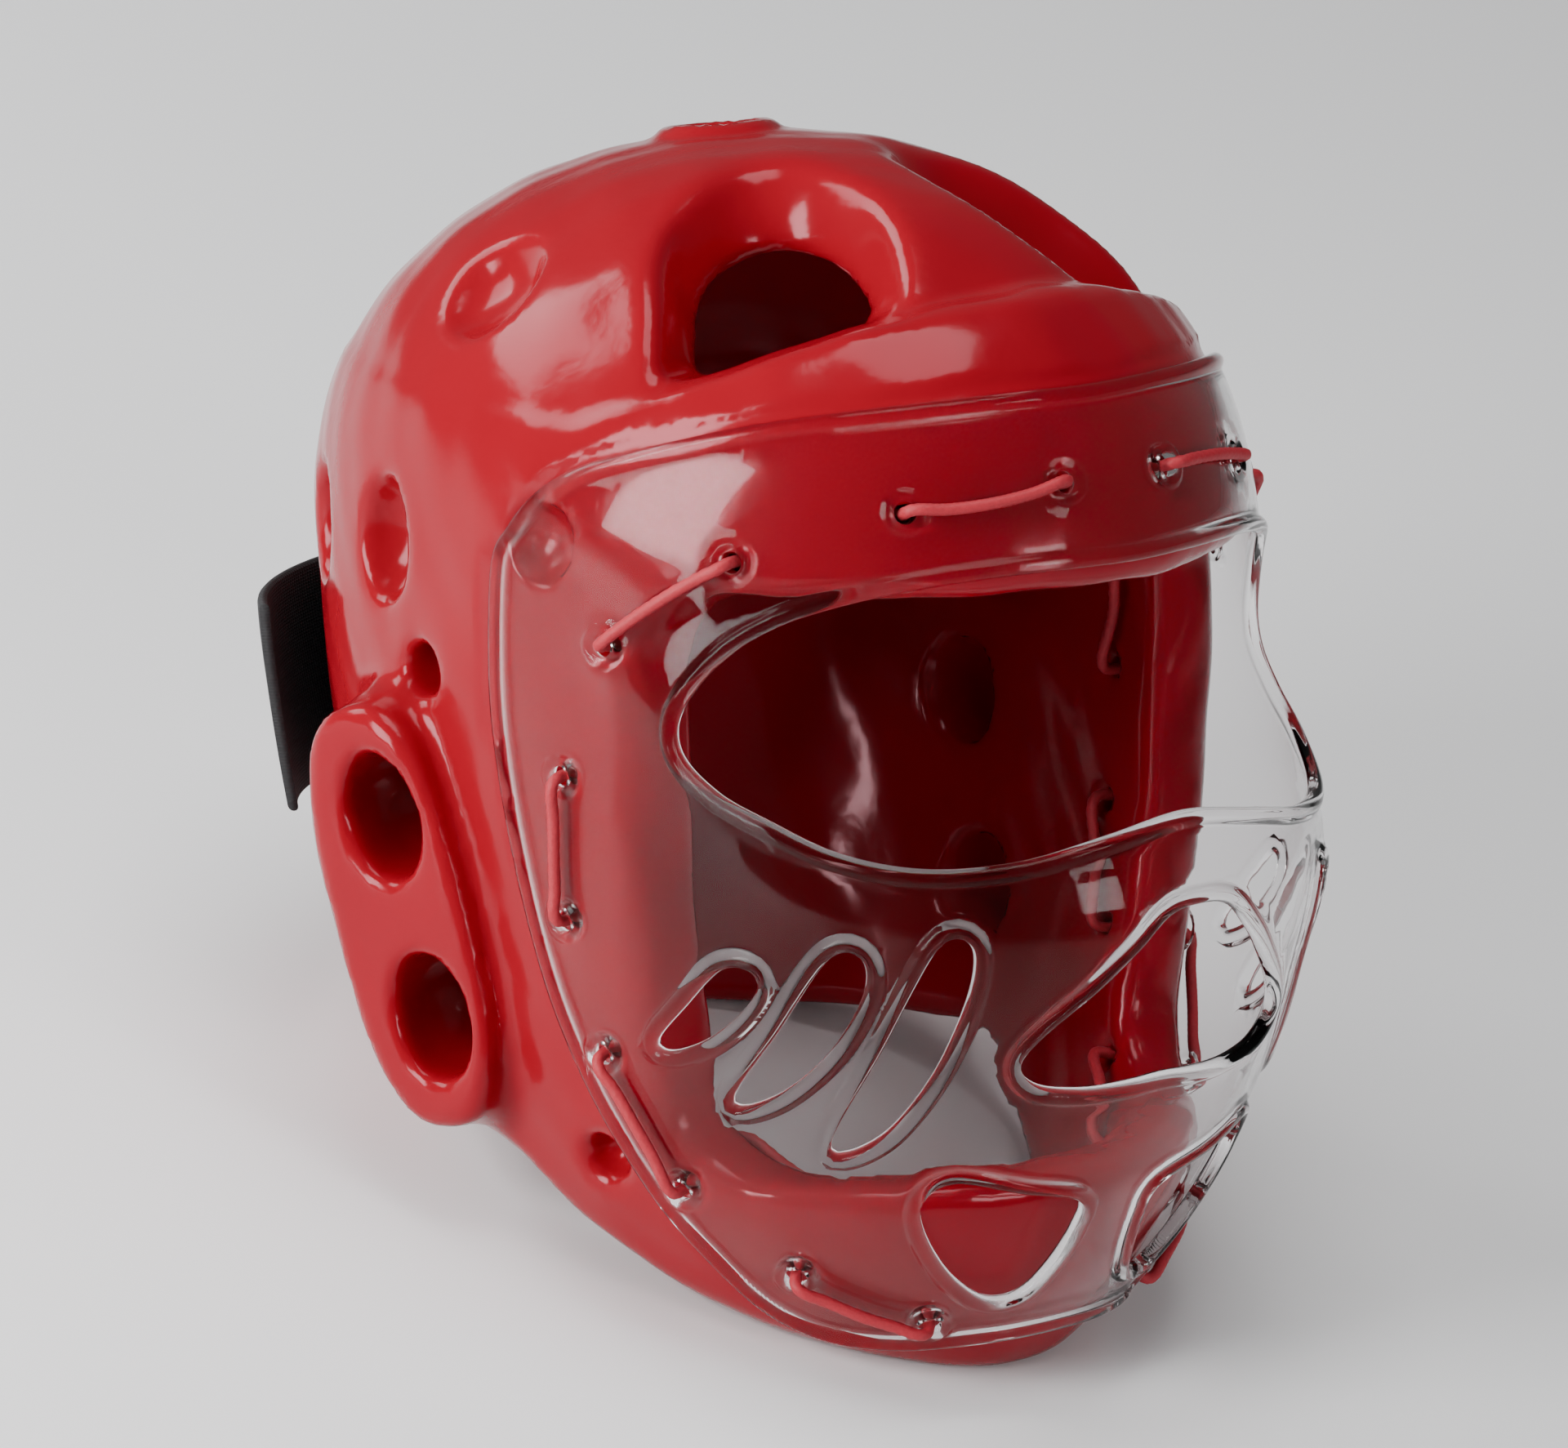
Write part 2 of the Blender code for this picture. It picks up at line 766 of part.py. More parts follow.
def lace_places():
    """Azimuth and height of every lace hole, once round the mask from the forehead's right."""
    right = [(-azimuth, height_at(share)) for azimuth, share in LACE_HOLES]
    left = [(azimuth, height_at(share)) for azimuth, share in LACE_HOLES]
    return right + left[::-1]


def lace_hole(name, azimuth, height):
    """Round hole through mask and foam, along the mask's normal."""
    centre = mask_point(azimuth, height)
    normal = normal_at(mask_point, azimuth, height)
    side = Vector((0, 0, 1)).cross(normal).normalized()
    up = normal.cross(side)
    return loft(name, [
        oval(centre + normal * shift, side, up, LACE_HOLE_RADIUS, LACE_HOLE_RADIUS, HOLE_SIDES)
        for shift in (-FOAM - OVERCUT, OVERCUT / 2)
    ])


def add_guard(frame, shaders):
    shell = add_object("guard_shell", guard_skin(), frame, shaders["foam"])
    cut(shell, head_cavity(), frame)
    cut(shell, face_cutter(), frame)
    cut(shell, mask_seat(), frame)
    for _, side in sides():
        cut(shell, arch_cutter(side), frame)
    cut(shell, crown_vent(), frame)
    cut(shell, slit_cutter(), frame)
    for name, azimuth, share, half_width, half_height, depth in VENTS:
        for word, side in sides():
            height = height_at(share)
            centre = skin_point(side * azimuth, height)
            normal = normal_at(skin_point, side * azimuth, height)
            cut(shell, dish(f"{name}_{word}", centre, normal, half_width, half_height,
                            depth * FOAM), frame)
    for number, (azimuth, height) in enumerate(lace_places(), 1):
        cut(shell, lace_hole(f"foam_lace_hole_{number}", azimuth, height), frame)
    for word, side in sides():
        cut(shell, strap_slot(word, side), frame)
        for number, data in enumerate(ear_holes(word, side), 1):
            cut(shell, data, frame)
    cut(shell, rim_cutter(), frame)
    return shell


def add_mask(frame, shaders):
    columns = mask_columns()
    half = MASK_THICKNESS / 2
    blank = sheet("face_mask", columns, mask_point, -half, half, MASK_ROWS)
    mask = add_object("face_mask", blank, frame, shaders["clear"])
    eyes = mirrored_columns(EYE_COLUMNS)
    deep = MASK_BULGE / 2
    cut(mask, sheet("eye_opening", eyes, mask_point, -deep, deep, 3), frame)
    openings = mask_openings()
    for name, outline in openings:
        cut(mask, plug(name, outline, mask_point, -deep, deep), frame)
    for number, (azimuth, height) in enumerate(lace_places(), 1):
        cut(mask, lace_hole(f"mask_lace_hole_{number}", azimuth, height), frame)
    edge, eye = column_outline(columns, 2), column_outline(eyes, 2)
    cut(mask, bead("mask_edge_bead", edge, mask_point), frame, "UNION")
    cut(mask, bead("eye_bead", eye, mask_point), frame, "UNION")
    for name, outline in openings:
        cut(mask, bead(f"{name}_bead", outline, mask_point), frame, "UNION")
    return mask


def ear_axes(side):
    """Centre of an ear pad's face, with its outward, downward and forward directions."""
    centre = Vector((side * EAR_OUT, EAR_BACK, -EAR_HEIGHT))
    slant, lean, turn = (math.radians(a) for a in (EAR_SLANT, EAR_LEAN, EAR_TURN))
    down = Vector((-side * math.tan(lean), -math.tan(slant), -1)).normalized()
    outward = Vector((side * math.cos(turn), -math.sin(turn), 0))
    outward = (outward - down * outward.dot(down)).normalized()
    across = outward.cross(down)
    return centre, outward, down, across


def ear_oval(side, depth, length, width, shift=0.0, forward=0.0, count=EAR_SIDES, square=2.6):
    """Long oval round an ear pad's axis, at a depth below its face."""
    centre, outward, down, across = ear_axes(side)
    centre = centre - across * side * forward
    points = []
    for i in range(count):
        turn = 2 * math.pi * i / count
        cosine, sine = math.cos(turn), math.sin(turn)
        along = math.copysign(abs(cosine) ** (2 / square), cosine) * length / 2 + shift
        sideways = math.copysign(abs(sine) ** (2 / square), sine) * width / 2
        points.append(centre - outward * depth + down * along + across * sideways)
    return points


def ear_holes(word, side):
    """Cutters for the two deep oval holes of an ear pad, which go on through the shell."""
    holes = []
    for number, shift in enumerate((-EAR_HOLE_SPACING / 2, EAR_HOLE_SPACING / 2), 1):
        rings = [
            ear_oval(side, depth * FOAM, EAR_HOLE_LENGTH * share, EAR_HOLE_WIDTH * share, shift,
                     forward=EAR_HOLE_FORWARD, count=EAR_HOLE_SIDES, square=2.0)
            for depth, share in EAR_HOLE_SECTIONS
        ]
        holes.append(loft(f"ear_hole_{number}_{word}", rings))
    return holes


def add_ear_pad(word, side, frame, shaders):
    """Raised pad over an ear, seated on the guard's skin."""
    rings = [
        ear_oval(side, depth * FOAM, EAR_LENGTH + longer * FOAM, EAR_WIDTH + wider * FOAM,
                 forward=forward * FOAM)
        for depth, longer, wider, forward in EAR_SECTIONS
    ]
    pad = add_object(f"ear_pad_{word}", loft(f"ear_pad_{word}", rings), frame, shaders["foam"])
    cut(pad, pad_seat(word), frame)
    for number, data in enumerate(ear_holes(word + "_pad", side), 1):
        cut(pad, data, frame)
    return pad


def pad_seat(word):
    """The guard's skin, a gap larger, that an ear pad sits on."""
    azimuths = [360 * i / AZIMUTHS - 180 for i in range(AZIMUTHS)]
    heights = [-CHIN_DROP - 2 * OVERCUT]
    heights += [BROW_HEIGHT - (CHIN_DROP + BROW_HEIGHT) * share for share in LOWER_ROWS]
    rings = [[skin_point(a, height, GAP) for a in azimuths] for height in heights]
    return loft(f"pad_seat_{word}", rings)


def strap_standoff(azimuth, mirrored):
    """Standoff of a strap that starts in the left slot, or in the right one if mirrored."""
    from_slot = 360 - azimuth if mirrored else azimuth
    share = (from_slot - STRAP_START) / (180 - STRAP_START)
    return STRAP_STANDOFF * row_at(STRAP_SECTIONS, share)[0]


def strap_band(name, first, last, standoff, grow=0.0):
    """Band of the strap's width between two azimuths, counted from the front by the left."""
    half = STRAP_WIDTH / 2 + grow
    rings = []
    for i in range(STRAP_STEPS + 1):
        azimuth = first + (last - first) * i / STRAP_STEPS
        ring = []
        for height, shift in ((-half, -grow), (half, -grow), (half, STRAP_THICKNESS + grow),
                              (-half, STRAP_THICKNESS + grow)):
            level = STRAP_HEIGHT + height
            ring.append(place(azimuth, level, skin_radius(azimuth, level) + standoff(azimuth) + shift))
        rings.append(ring)
    return loft(name, rings)


def strap_slot(word, side):
    """Pocket in the foam that holds the end of the strap."""
    mirrored = side < 0
    first = STRAP_START - math.degrees(GAP / HALF_WIDTH)
    last = STRAP_START + STRAP_POCKET
    if mirrored:
        first, last = 360 - first, 360 - last
    return strap_band(f"strap_slot_{word}", first, last, lambda a: strap_standoff(a, mirrored), GAP)


def hook_standoff(azimuth):
    """Standoff of the hook end, which steps out over the loop end and then lifts off."""
    step = smooth_step((azimuth - HOOK_STEP_START) / (HOOK_STEP_END - HOOK_STEP_START))
    lift = smooth_step((azimuth - HOOK_FREE) / (HOOK_END - HOOK_FREE))
    return strap_standoff(azimuth, False) + (STRAP_THICKNESS + 2 * GAP) * step + HOOK_LIFT * lift


def smooth_step(share):
    share = min(max(share, 0.0), 1.0)
    return 3 * share**2 - 2 * share**3


def add_strap(frame, shaders):
    """Black strap across the slit: the hook end lies over the loop end at the back."""
    loop = strap_band("strap_loop", LOOP_END, 360 - STRAP_START, lambda a: strap_standoff(a, True))
    add_object("strap_loop", loop, frame, shaders["strap"])
    hook = strap_band("strap_hook", STRAP_START, HOOK_END, hook_standoff)
    add_object("strap_hook", hook, frame, shaders["strap"])


def cavity_depth(azimuth, height):
    """Depth below the mask at which the lace is clear of the foam, inside the guard."""
    centre = mask_point(azimuth, height)
    normal = normal_at(mask_point, azimuth, height)
    clearance = 2 * LACE_RADIUS + 4 * GAP
    depth = FOAM / 2
    while depth < 3 * FOAM:
        point = centre - normal * depth
        turn = math.degrees(math.atan2(point.x, -point.y))
        wall = skin_radius(turn, point.z, BAND_REACH, FOAM)
        if math.hypot(point.x, point.y) + clearance < wall:
            break
        depth += GAP
    return depth


def lace_route():
    """Points of the lace: out of one hole, over the mask, in at the next, and on inside."""
    places = lace_places()
    over = MASK_THICKNESS / 2 + LACE_RADIUS + 2 * GAP
    route = []
    for pair in range(0, len(places), 2):
        start, end = places[pair], places[pair + 1]
        following = places[(pair + 2) % len(places)]
        route += hole_points(start, end, over)
        route.append(mask_point(*between(start, end, 0.5), over))
        route += hole_points(end, start, over)[::-1]
        azimuth, height = between(end, following, 0.5)
        route.append(mask_point(azimuth, height, -cavity_depth(azimuth, height)))
    return route


def between(start, end, share):
    return [first + (last - first) * share for first, last in zip(start, end)]


def hole_points(spot, towards, over):
    """Points of the lace through one hole, from inside the guard to the start of its stitch."""
    centre = mask_point(*spot)
    normal = normal_at(mask_point, *spot)
    run = mask_point(*towards) - centre
    run = (run - normal * run.dot(normal)).normalized()
    depth = cavity_depth(*spot)
    return [
        centre - normal * depth,
        centre + normal * MASK_THICKNESS / 2,
        centre + normal * over + run * LACE_BEND,
    ]


def add_lace(frame, shaders):
    route = lace_route()
    data = bpy.data.curves.new("lace", "CURVE")
    data.dimensions = "3D"
    data.bevel_depth = LACE_RADIUS
    data.bevel_resolution = 2
    data.use_fill_caps = True
    spline = data.splines.new("POLY")
    spline.points.add(len(route) - 1)
    for spot, point in zip(spline.points, route):
        spot.co = (*point, 1.0)
    spline.use_cyclic_u = True
    add_object("lace", data, frame, shaders["lace"])


def stand_on_floor(frame):
    """Lean the guard back onto its chin and nape, and put the origin under the middle of its box."""
    frame.rotation_euler = (-math.atan(floor_slope()), 0, 0)
    bpy.context.view_layer.update()
    graph = bpy.context.evaluated_depsgraph_get()
    lows, highs = [], []
    for piece in bpy.data.objects:
        if piece.type != "MESH" or piece.hide_render:
            continue
        shape = piece.evaluated_get(graph)
        points = [piece.matrix_world @ vertex.co for vertex in shape.data.vertices]
        lows.append([min(point[axis] for point in points) for axis in range(3)])
        highs.append([max(point[axis] for point in points) for axis in range(3)])
    low = [min(values) for values in zip(*lows)]
    high = [max(values) for values in zip(*highs)]
    frame.location = (-(low[0] + high[0]) / 2, -(low[1] + high[1]) / 2, -low[2])


def main():
    clear_scene()
    shaders = {
        "foam": material("red_foam", (0.50, 0.008, 0.018), 0.18),
        "clear": material("clear_plastic", (0.93, 0.90, 0.91), 0.05, 0.3),
        "lace": material("red_cord", (0.55, 0.01, 0.02), 0.6),
        "strap": material("black_webbing", (0.012, 0.012, 0.013), 0.85),
    }
    frame = bpy.data.objects.new("worn_frame", None)
    bpy.context.scene.collection.objects.link(frame)
    add_guard(frame, shaders)
    for word, side in sides():
        add_ear_pad(word, side, frame, shaders)
    add_mask(frame, shaders)
    add_lace(frame, shaders)
    add_strap(frame, shaders)
    stand_on_floor(frame)


main()
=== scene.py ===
"""Looks of the laced head guard: glossy dipped foam, a clear mask with raised lips, braided lace and webbing.

The forms are worked out as the guard is worn: x to the wearer's left, y to the back and z up, from the
point between the ears at eye level. The empty named worn then leans them back onto the CAD frame.
Azimuth is 0 at the front and 180 at the back. Lengths are in metres and angles in degrees.
The guard is a field of distances on a grid, and its surface is meshed where the field is zero.
"""

import math

import bpy
import numpy as np
from mathutils import Matrix, Vector
from mathutils.geometry import delaunay_2d_cdt


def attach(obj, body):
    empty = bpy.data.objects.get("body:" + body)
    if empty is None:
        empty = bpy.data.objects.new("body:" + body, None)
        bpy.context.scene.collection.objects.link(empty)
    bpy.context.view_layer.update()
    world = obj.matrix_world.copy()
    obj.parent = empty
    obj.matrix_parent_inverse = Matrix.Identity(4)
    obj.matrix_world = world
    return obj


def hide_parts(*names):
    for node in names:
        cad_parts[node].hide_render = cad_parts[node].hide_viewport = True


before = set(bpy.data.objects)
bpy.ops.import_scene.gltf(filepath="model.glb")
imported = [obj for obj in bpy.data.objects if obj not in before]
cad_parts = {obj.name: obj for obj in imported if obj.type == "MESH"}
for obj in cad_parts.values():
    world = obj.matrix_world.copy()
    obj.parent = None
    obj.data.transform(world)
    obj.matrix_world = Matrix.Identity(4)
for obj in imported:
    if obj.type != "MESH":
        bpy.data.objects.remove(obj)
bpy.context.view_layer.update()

# Guard: reach of each side from the ears, and heights from eye level
HALF_WIDTH = 0.098
BAND_REACH = 0.118
DOME_REACH = 0.103
REAR_REACH = 0.119
CROWN_HEIGHT = 0.134
BROW_HEIGHT = 0.045
CHIN_DROP = 0.141
FOAM = 0.020
DOME_POWER = 2.15

# Forehead band
BAND_TOP = 0.109
BAND_FALL = 0.039
BAND_TOP_SIDE = 0.082

# Face opening, seen from the side
FACE_TOP = 0.047
FACE_BOTTOM = 0.090
CHEEK_FRONT = 0.051
FACE_CORNER = 0.018

# Lower rim
CHIN_FOOT_BACK = 0.056
CHIN_TIP = 0.075
NAPE_FOOT_FRONT = 0.078
NAPE_DROP = 0.090
JAW_ARCH = 0.019

# Arched holes
ARCH_AZIMUTH = 39.5
ARCH_RISE = 13.0
ARCH_SHIFT = 0.003
ARCH_RIM_HALF_WIDTH = 0.0285
ARCH_RIM_TOP = 0.124
ARCH_THROAT_HALF_WIDTH = 0.0175
ARCH_THROAT_TOP = 0.101
ARCH_FOOT = 0.078
ARCH_FOOT_SLOPE = 0.31

# Ear pads
EAR_HEIGHT = 0.0385
EAR_BACK = 0.014
EAR_OUT = 0.1075
EAR_LENGTH = 0.101
EAR_WIDTH = 0.040
EAR_TURN = 15.0
EAR_SLANT = 13.5
EAR_LEAN = 6.5
EAR_POWER = 2.6
EAR_HOLE_LENGTH = 0.031
EAR_HOLE_WIDTH = 0.021
EAR_HOLE_SPACING = 0.048
EAR_HOLE_FORWARD = 0.003

# Vents
CROWN_VENT_RADIUS = 0.009
CROWN_VENT_BACK = 0.028
CROWN_RING_OUT = 0.0028
CROWN_RING_RADIUS = 0.0024
SLIT_WIDTH = 0.012
SLIT_TOP = 0.050

# Face mask
MASK_THICKNESS = 0.002
MASK_LIFT = 0.0005
MASK_BULGE = 0.026
LACE_RADIUS = 0.0014
LACE_HOLE_RADIUS = 0.0025
BRAID_LAY = 0.0056

# Strap
STRAP_WIDTH = 0.050
STRAP_THICKNESS = 0.0025
STRAP_HEIGHT = -0.002
STRAP_STANDOFF = 0.004
STRAP_START = 137.0
LOOP_END = 164.0
HOOK_END = 230.0
HOOK_STEP_START = 152.0
HOOK_STEP_END = 162.0
HOOK_FREE = 196.0
HOOK_LIFT = 0.006
GAP = 0.0004

# Drop from brow to chin, then half width, front, rear, front squareness, rear squareness
LOWER_SECTIONS = np.array([
    (0.00, 1.000, 1.00, 1.00, 1.95, 2.35),
    (0.12, 1.000, 1.00, 0.99, 2.05, 2.33),
    (0.24, 0.990, 0.99, 0.96, 2.15, 2.30),
    (0.51, 0.940, 0.96, 0.86, 2.22, 2.20),
    (0.75, 0.850, 0.90, 0.74, 2.20, 2.00),
    (0.88, 0.725, 0.83, 0.70, 2.15, 2.00),
    (1.00, 0.550, 0.72, 0.67, 2.10, 2.00),
])

# Drop from brow to chin, then the mask's bulge on the midline
BULGE_SECTIONS = np.array([
    (-0.135, 0.00),
    (-0.040, 0.05),
    (0.000, 0.14),
    (0.134, 0.46),
    (0.253, 0.75),
    (0.376, 1.00),
    (0.511, 0.80),
    (0.618, 0.62),
    (0.780, 0.30),
    (0.887, 0.14),
    (1.000, 0.00),
])

# Share of the way from chin foot to nape foot, then the rim's lift above the floor line
JAW_SECTIONS = np.array([
    (0.00, 0.00),
    (0.10, 0.06),
    (0.19, 0.25),
    (0.30, 0.55),
    (0.36, 0.78),
    (0.42, 0.96),
    (0.49, 1.00),
    (0.60, 0.78),
    (0.75, 0.42),
    (0.90, 0.10),
    (1.00, 0.00),
])

# Azimuth, then the mask's lower and upper edge
MASK_COLUMNS = (
    (0.0, -0.930, 0.680),
    (12.0, -0.934, 0.679),
    (24.0, -0.942, 0.669),
    (35.0, -0.926, 0.654),
    (45.0, -0.869, 0.633),
    (54.0, -0.762, 0.605),
    (62.0, -0.641, 0.576),
    (69.0, -0.507, 0.545),
    (75.0, -0.350, 0.500),
    (79.5, -0.150, 0.437),
    (82.7, 0.095, 0.352),
)

# Azimuth, then the lower and upper edge of the mask's eye opening
EYE_COLUMNS = (
    (0.0, -0.004, 0.397),
    (9.0, -0.025, 0.397),
    (18.0, -0.054, 0.391),
    (27.0, -0.062, 0.373),
    (35.0, -0.042, 0.346),
    (42.0, -0.002, 0.307),
    (48.0, 0.037, 0.248),
    (52.6, 0.096, 0.164),
)

# Outline of each slanted slot in one side of the mask, straight behind and bowed in front
SLOT_OUTLINES = (
    ((47.6, -0.254), (44.2, -0.246), (43.3, -0.275), (45.8, -0.330),
     (50.0, -0.380), (54.6, -0.408), (56.6, -0.396), (52.4, -0.328)),
    ((35.8, -0.214), (32.6, -0.208), (32.4, -0.272), (35.4, -0.370),
     (40.2, -0.447), (45.0, -0.484), (46.4, -0.468), (41.2, -0.352)),
    ((25.6, -0.190), (22.6, -0.182), (22.6, -0.270), (25.0, -0.400),
     (29.0, -0.505), (33.4, -0.551), (35.0, -0.530), (30.3, -0.369)),
)

# Half outline of the opening in front of the mouth, from its apex
MOUTH_OUTLINE = (
    (0.0, -0.150), (3.6, -0.161), (6.6, -0.208), (10.4, -0.273), (14.6, -0.340),
    (16.6, -0.392), (14.6, -0.431), (9.6, -0.447), (4.4, -0.447), (0.0, -0.443),
)

# Outline of one chin opening in the mask
CHIN_OUTLINE = (
    (6.0, -0.662), (13.5, -0.632), (21.5, -0.604), (24.5, -0.645), (23.4, -0.708),
    (19.4, -0.785), (14.0, -0.838), (9.4, -0.836), (6.8, -0.785), (5.4, -0.715),
)

# Azimuth and height of the lace holes on one side, from forehead to chin
LACE_HOLES = (
    (7.5, 0.537),
    (26.5, 0.502),
    (47.0, 0.414),
    (64.0, 0.254),
    (70.5, 0.019),
    (71.0, -0.224),
    (65.8, -0.440),
    (55.0, -0.660),
    (39.0, -0.800),
    (20.0, -0.893),
)

# Azimuth, height, half width, half height and depth in foam thicknesses of each dish or vent
VENTS = (
    (103.5, 0.785, 0.0115, 0.0120, 0.34),
    (108.5, 0.347, 0.0085, 0.0125, 0.60),
    (99.0, 0.139, 0.0056, 0.0052, 1.70),
    (75.0, 0.410, 0.0080, 0.0085, 0.45),
    (131.0, 0.317, 0.0085, 0.0115, 0.60),
    (69.0, -0.640, 0.0050, 0.0050, 0.45),
)

# Depth below an ear pad's face, then length and width added and shift forward, in foam thicknesses
EAR_SECTIONS = np.array([
    (-0.50, 0.00, 0.00, 0.00),
    (0.25, 0.00, 0.00, 0.00),
    (1.00, 0.40, 0.65, 0.20),
    (2.00, 0.80, 1.30, 0.35),
])

# Distance from an edge of the mask, its outer offset and its inner offset, in millimetres
LIP_PROFILE = np.array([
    (0.00, 0.00, 0.00),
    (0.10, 0.85, 0.70),
    (0.35, 1.45, 1.10),
    (0.80, 1.95, 1.30),
    (1.40, 2.30, 1.35),
    (2.10, 2.45, 1.30),
    (2.80, 2.30, 1.20),
    (3.40, 1.95, 1.10),
    (3.90, 1.50, 1.02),
    (4.30, 1.12, 1.00),
    (4.70, 1.00, 1.00),
])
SMALL_LIP = 0.62
PLAIN_SHEET = 0.0049

# Share of the way from a strap's slot to the back, then the strap's standoff from the foam
STRAP_SECTIONS = np.array([
    (0.00, -1.60),
    (0.12, -0.90),
    (0.24, -0.05),
    (0.38, 0.65),
    (0.55, 1.00),
    (1.00, 1.00),
])

# Colours, dark and light where they vary
FOAM_COLOURS = ((0.215, 0.0028, 0.0085), (0.265, 0.0042, 0.012))
LACE_COLOURS = ((0.26, 0.004, 0.012), (0.42, 0.010, 0.024))
WEBBING_COLOURS = ((0.006, 0.006, 0.007), (0.022, 0.022, 0.024))
CLEAR_COLOUR = (0.985, 0.975, 0.98)
FLOOR_COLOUR = (0.86, 0.86, 0.87)

# Camera, and the photo's size with the place of the head's centre in it, in pixels
CAMERA_AZIMUTH = 39.5
CAMERA_RISE = 13.0
CAMERA_DISTANCE = 1.9
PIXELS_PER_METRE = 5200
PHOTO_WIDTH = 1920
PHOTO_HEIGHT = 1773
HEAD_COLUMN = 971
HEAD_ROW = 858

# Roundness of the foam's edges
LEDGE_EDGE = 0.0025
SEAM_EDGE = 0.0015
HOLLOW_EDGE = 0.004
FACE_EDGE = 0.008
RIM_EDGE = 0.007
ARCH_EDGE = 0.0035
ARCH_FOOT_EDGE = 0.006
EAR_EDGE = 0.005
EAR_FILLET = 0.004
HOLE_EDGE = 0.003
VENT_EDGE = 0.0035
SLIT_EDGE = 0.005
PUNCHED_EDGE = 0.0015

# Each softbox: place, width and height, and power in watts
AIM = (0.0, 0.0, 0.14)
SOFTBOXES = {
    "side_box": ((-1.24, 0.04, 0.52), (0.48, 0.74), 27),
    "front_box": ((0.25, -1.9, 1.0), (0.5, 0.5), 11),
    "top_box": ((-0.1, 0.1, 1.9), (1.0, 1.0), 22),
    "rear_box": ((-0.8, 1.3, 0.9), (0.9, 0.7), 18),
}
WORLD_STRENGTH = 0.16
FLOOR_SIZE = 12.0

STEP = 0.002
MASK_SPACING = 0.0014


def row_at(rows, share):
    """Values of a table at shares between its rows, on a smooth curve that never overshoots."""
    share = np.clip(np.asarray(share, float), rows[0, 0], rows[-1, 0])
    slopes = (rows[1:, 1:] - rows[:-1, 1:]) / (rows[1:, :1] - rows[:-1, :1])
    before, after = slopes[:-1], slopes[1:]
    total = np.where(before + after == 0, 1, before + after)
    tangents = np.zeros_like(rows[:, 1:])
    tangents[1:-1] = np.where(before * after > 0, 2 * before * after / total, 0)
    tangents[-1] = slopes[-1]
    index = np.clip(np.searchsorted(rows[:, 0], share, side="right") - 1, 0, len(rows) - 2)
    step = rows[index + 1, 0] - rows[index, 0]
    t = ((share - rows[index, 0]) / step)[..., None]
    rise = (2 * t**3 - 3 * t**2 + 1) * rows[index, 1:] + (3 * t**2 - 2 * t**3) * rows[index + 1, 1:]
    bend = (t**3 - 2 * t**2 + t) * tangents[index] + (t**3 - t**2) * tangents[index + 1]
    return rise + step[..., None] * bend


def height_at(share):
    """Height of a share of the crown's height, or below zero of the chin's drop."""
    return share * (CROWN_HEIGHT if share > 0 else CHIN_DROP)


def drop_share(height):
    """Share of the way down from the brow to the chin."""
    return (BROW_HEIGHT - height) / (BROW_HEIGHT + CHIN_DROP)


def smooth_step(share):
    share = np.clip(share, 0.0, 1.0)
    return 3 * share**2 - 2 * share**3


def skin_radius(azimuth, height, reach=BAND_REACH, inset=0.0):
    """Distance of the guard's skin from the upright axis between the ears."""
    azimuth, height = np.broadcast_arrays(np.asarray(azimuth, float), np.asarray(height, float))
    row = row_at(LOWER_SECTIONS, drop_share(height))
    climb = np.clip((height - BROW_HEIGHT) / (CROWN_HEIGHT - inset - BROW_HEIGHT), 0.0, 0.9999)
    narrowing = (1 - climb**DOME_POWER) ** (1 / DOME_POWER)
    sine, cosine = np.sin(np.radians(azimuth)), np.cos(np.radians(azimuth))
    length = np.where(cosine > 0, row[..., 1] * reach, row[..., 2] * REAR_REACH)
    power = np.where(cosine > 0, row[..., 3], row[..., 4])
    across = np.abs(sine) / ((row[..., 0] * HALF_WIDTH - inset) * narrowing)
    along = np.abs(cosine) / ((length - inset) * narrowing)
    return (across**power + along**power) ** (-1 / power)


def mask_radius(azimuth, height):
    """Distance of the middle of the mask's sheet from the upright axis."""
    bulge = row_at(BULGE_SECTIONS, drop_share(height))[..., 0]
    fade = np.maximum(np.cos(np.radians(azimuth)), 0.0) ** 3
    return skin_radius(azimuth, height) + MASK_LIFT + MASK_BULGE * bulge * fade


def surface_point(radius, azimuth, height, offset=0.0):
    """Points on a surface given by its radius, moved out along its normal."""
    azimuth, height = np.asarray(azimuth, float), np.asarray(height, float)

    def spot(a, h):
        r, turn = radius(a, h), np.radians(a)
        return np.stack(np.broadcast_arrays(r * np.sin(turn), -r * np.cos(turn), h), -1)

    turn, climb = 0.5, 0.001
    across = spot(azimuth + turn, height) - spot(azimuth - turn, height)
    upward = spot(azimuth, height + climb) - spot(azimuth, height - climb)
    normal = np.cross(across, upward)
    normal /= np.linalg.norm(normal, axis=-1, keepdims=True)
    return spot(azimuth, height) + normal * np.asarray(offset)[..., None], normal


# Fields on a grid


def soft_union(a, b, blend):
    """Field of two solids joined, with a fillet between them."""
    share = np.clip(0.5 + 0.5 * (b - a) / blend, 0, 1)
    return b * (1 - share) + a * share - blend * share * (1 - share)


def soft_common(a, b, blend):
    return -soft_union(-a, -b, blend)


def soft_cut(a, b, blend):
    return soft_common(a, -b, blend)


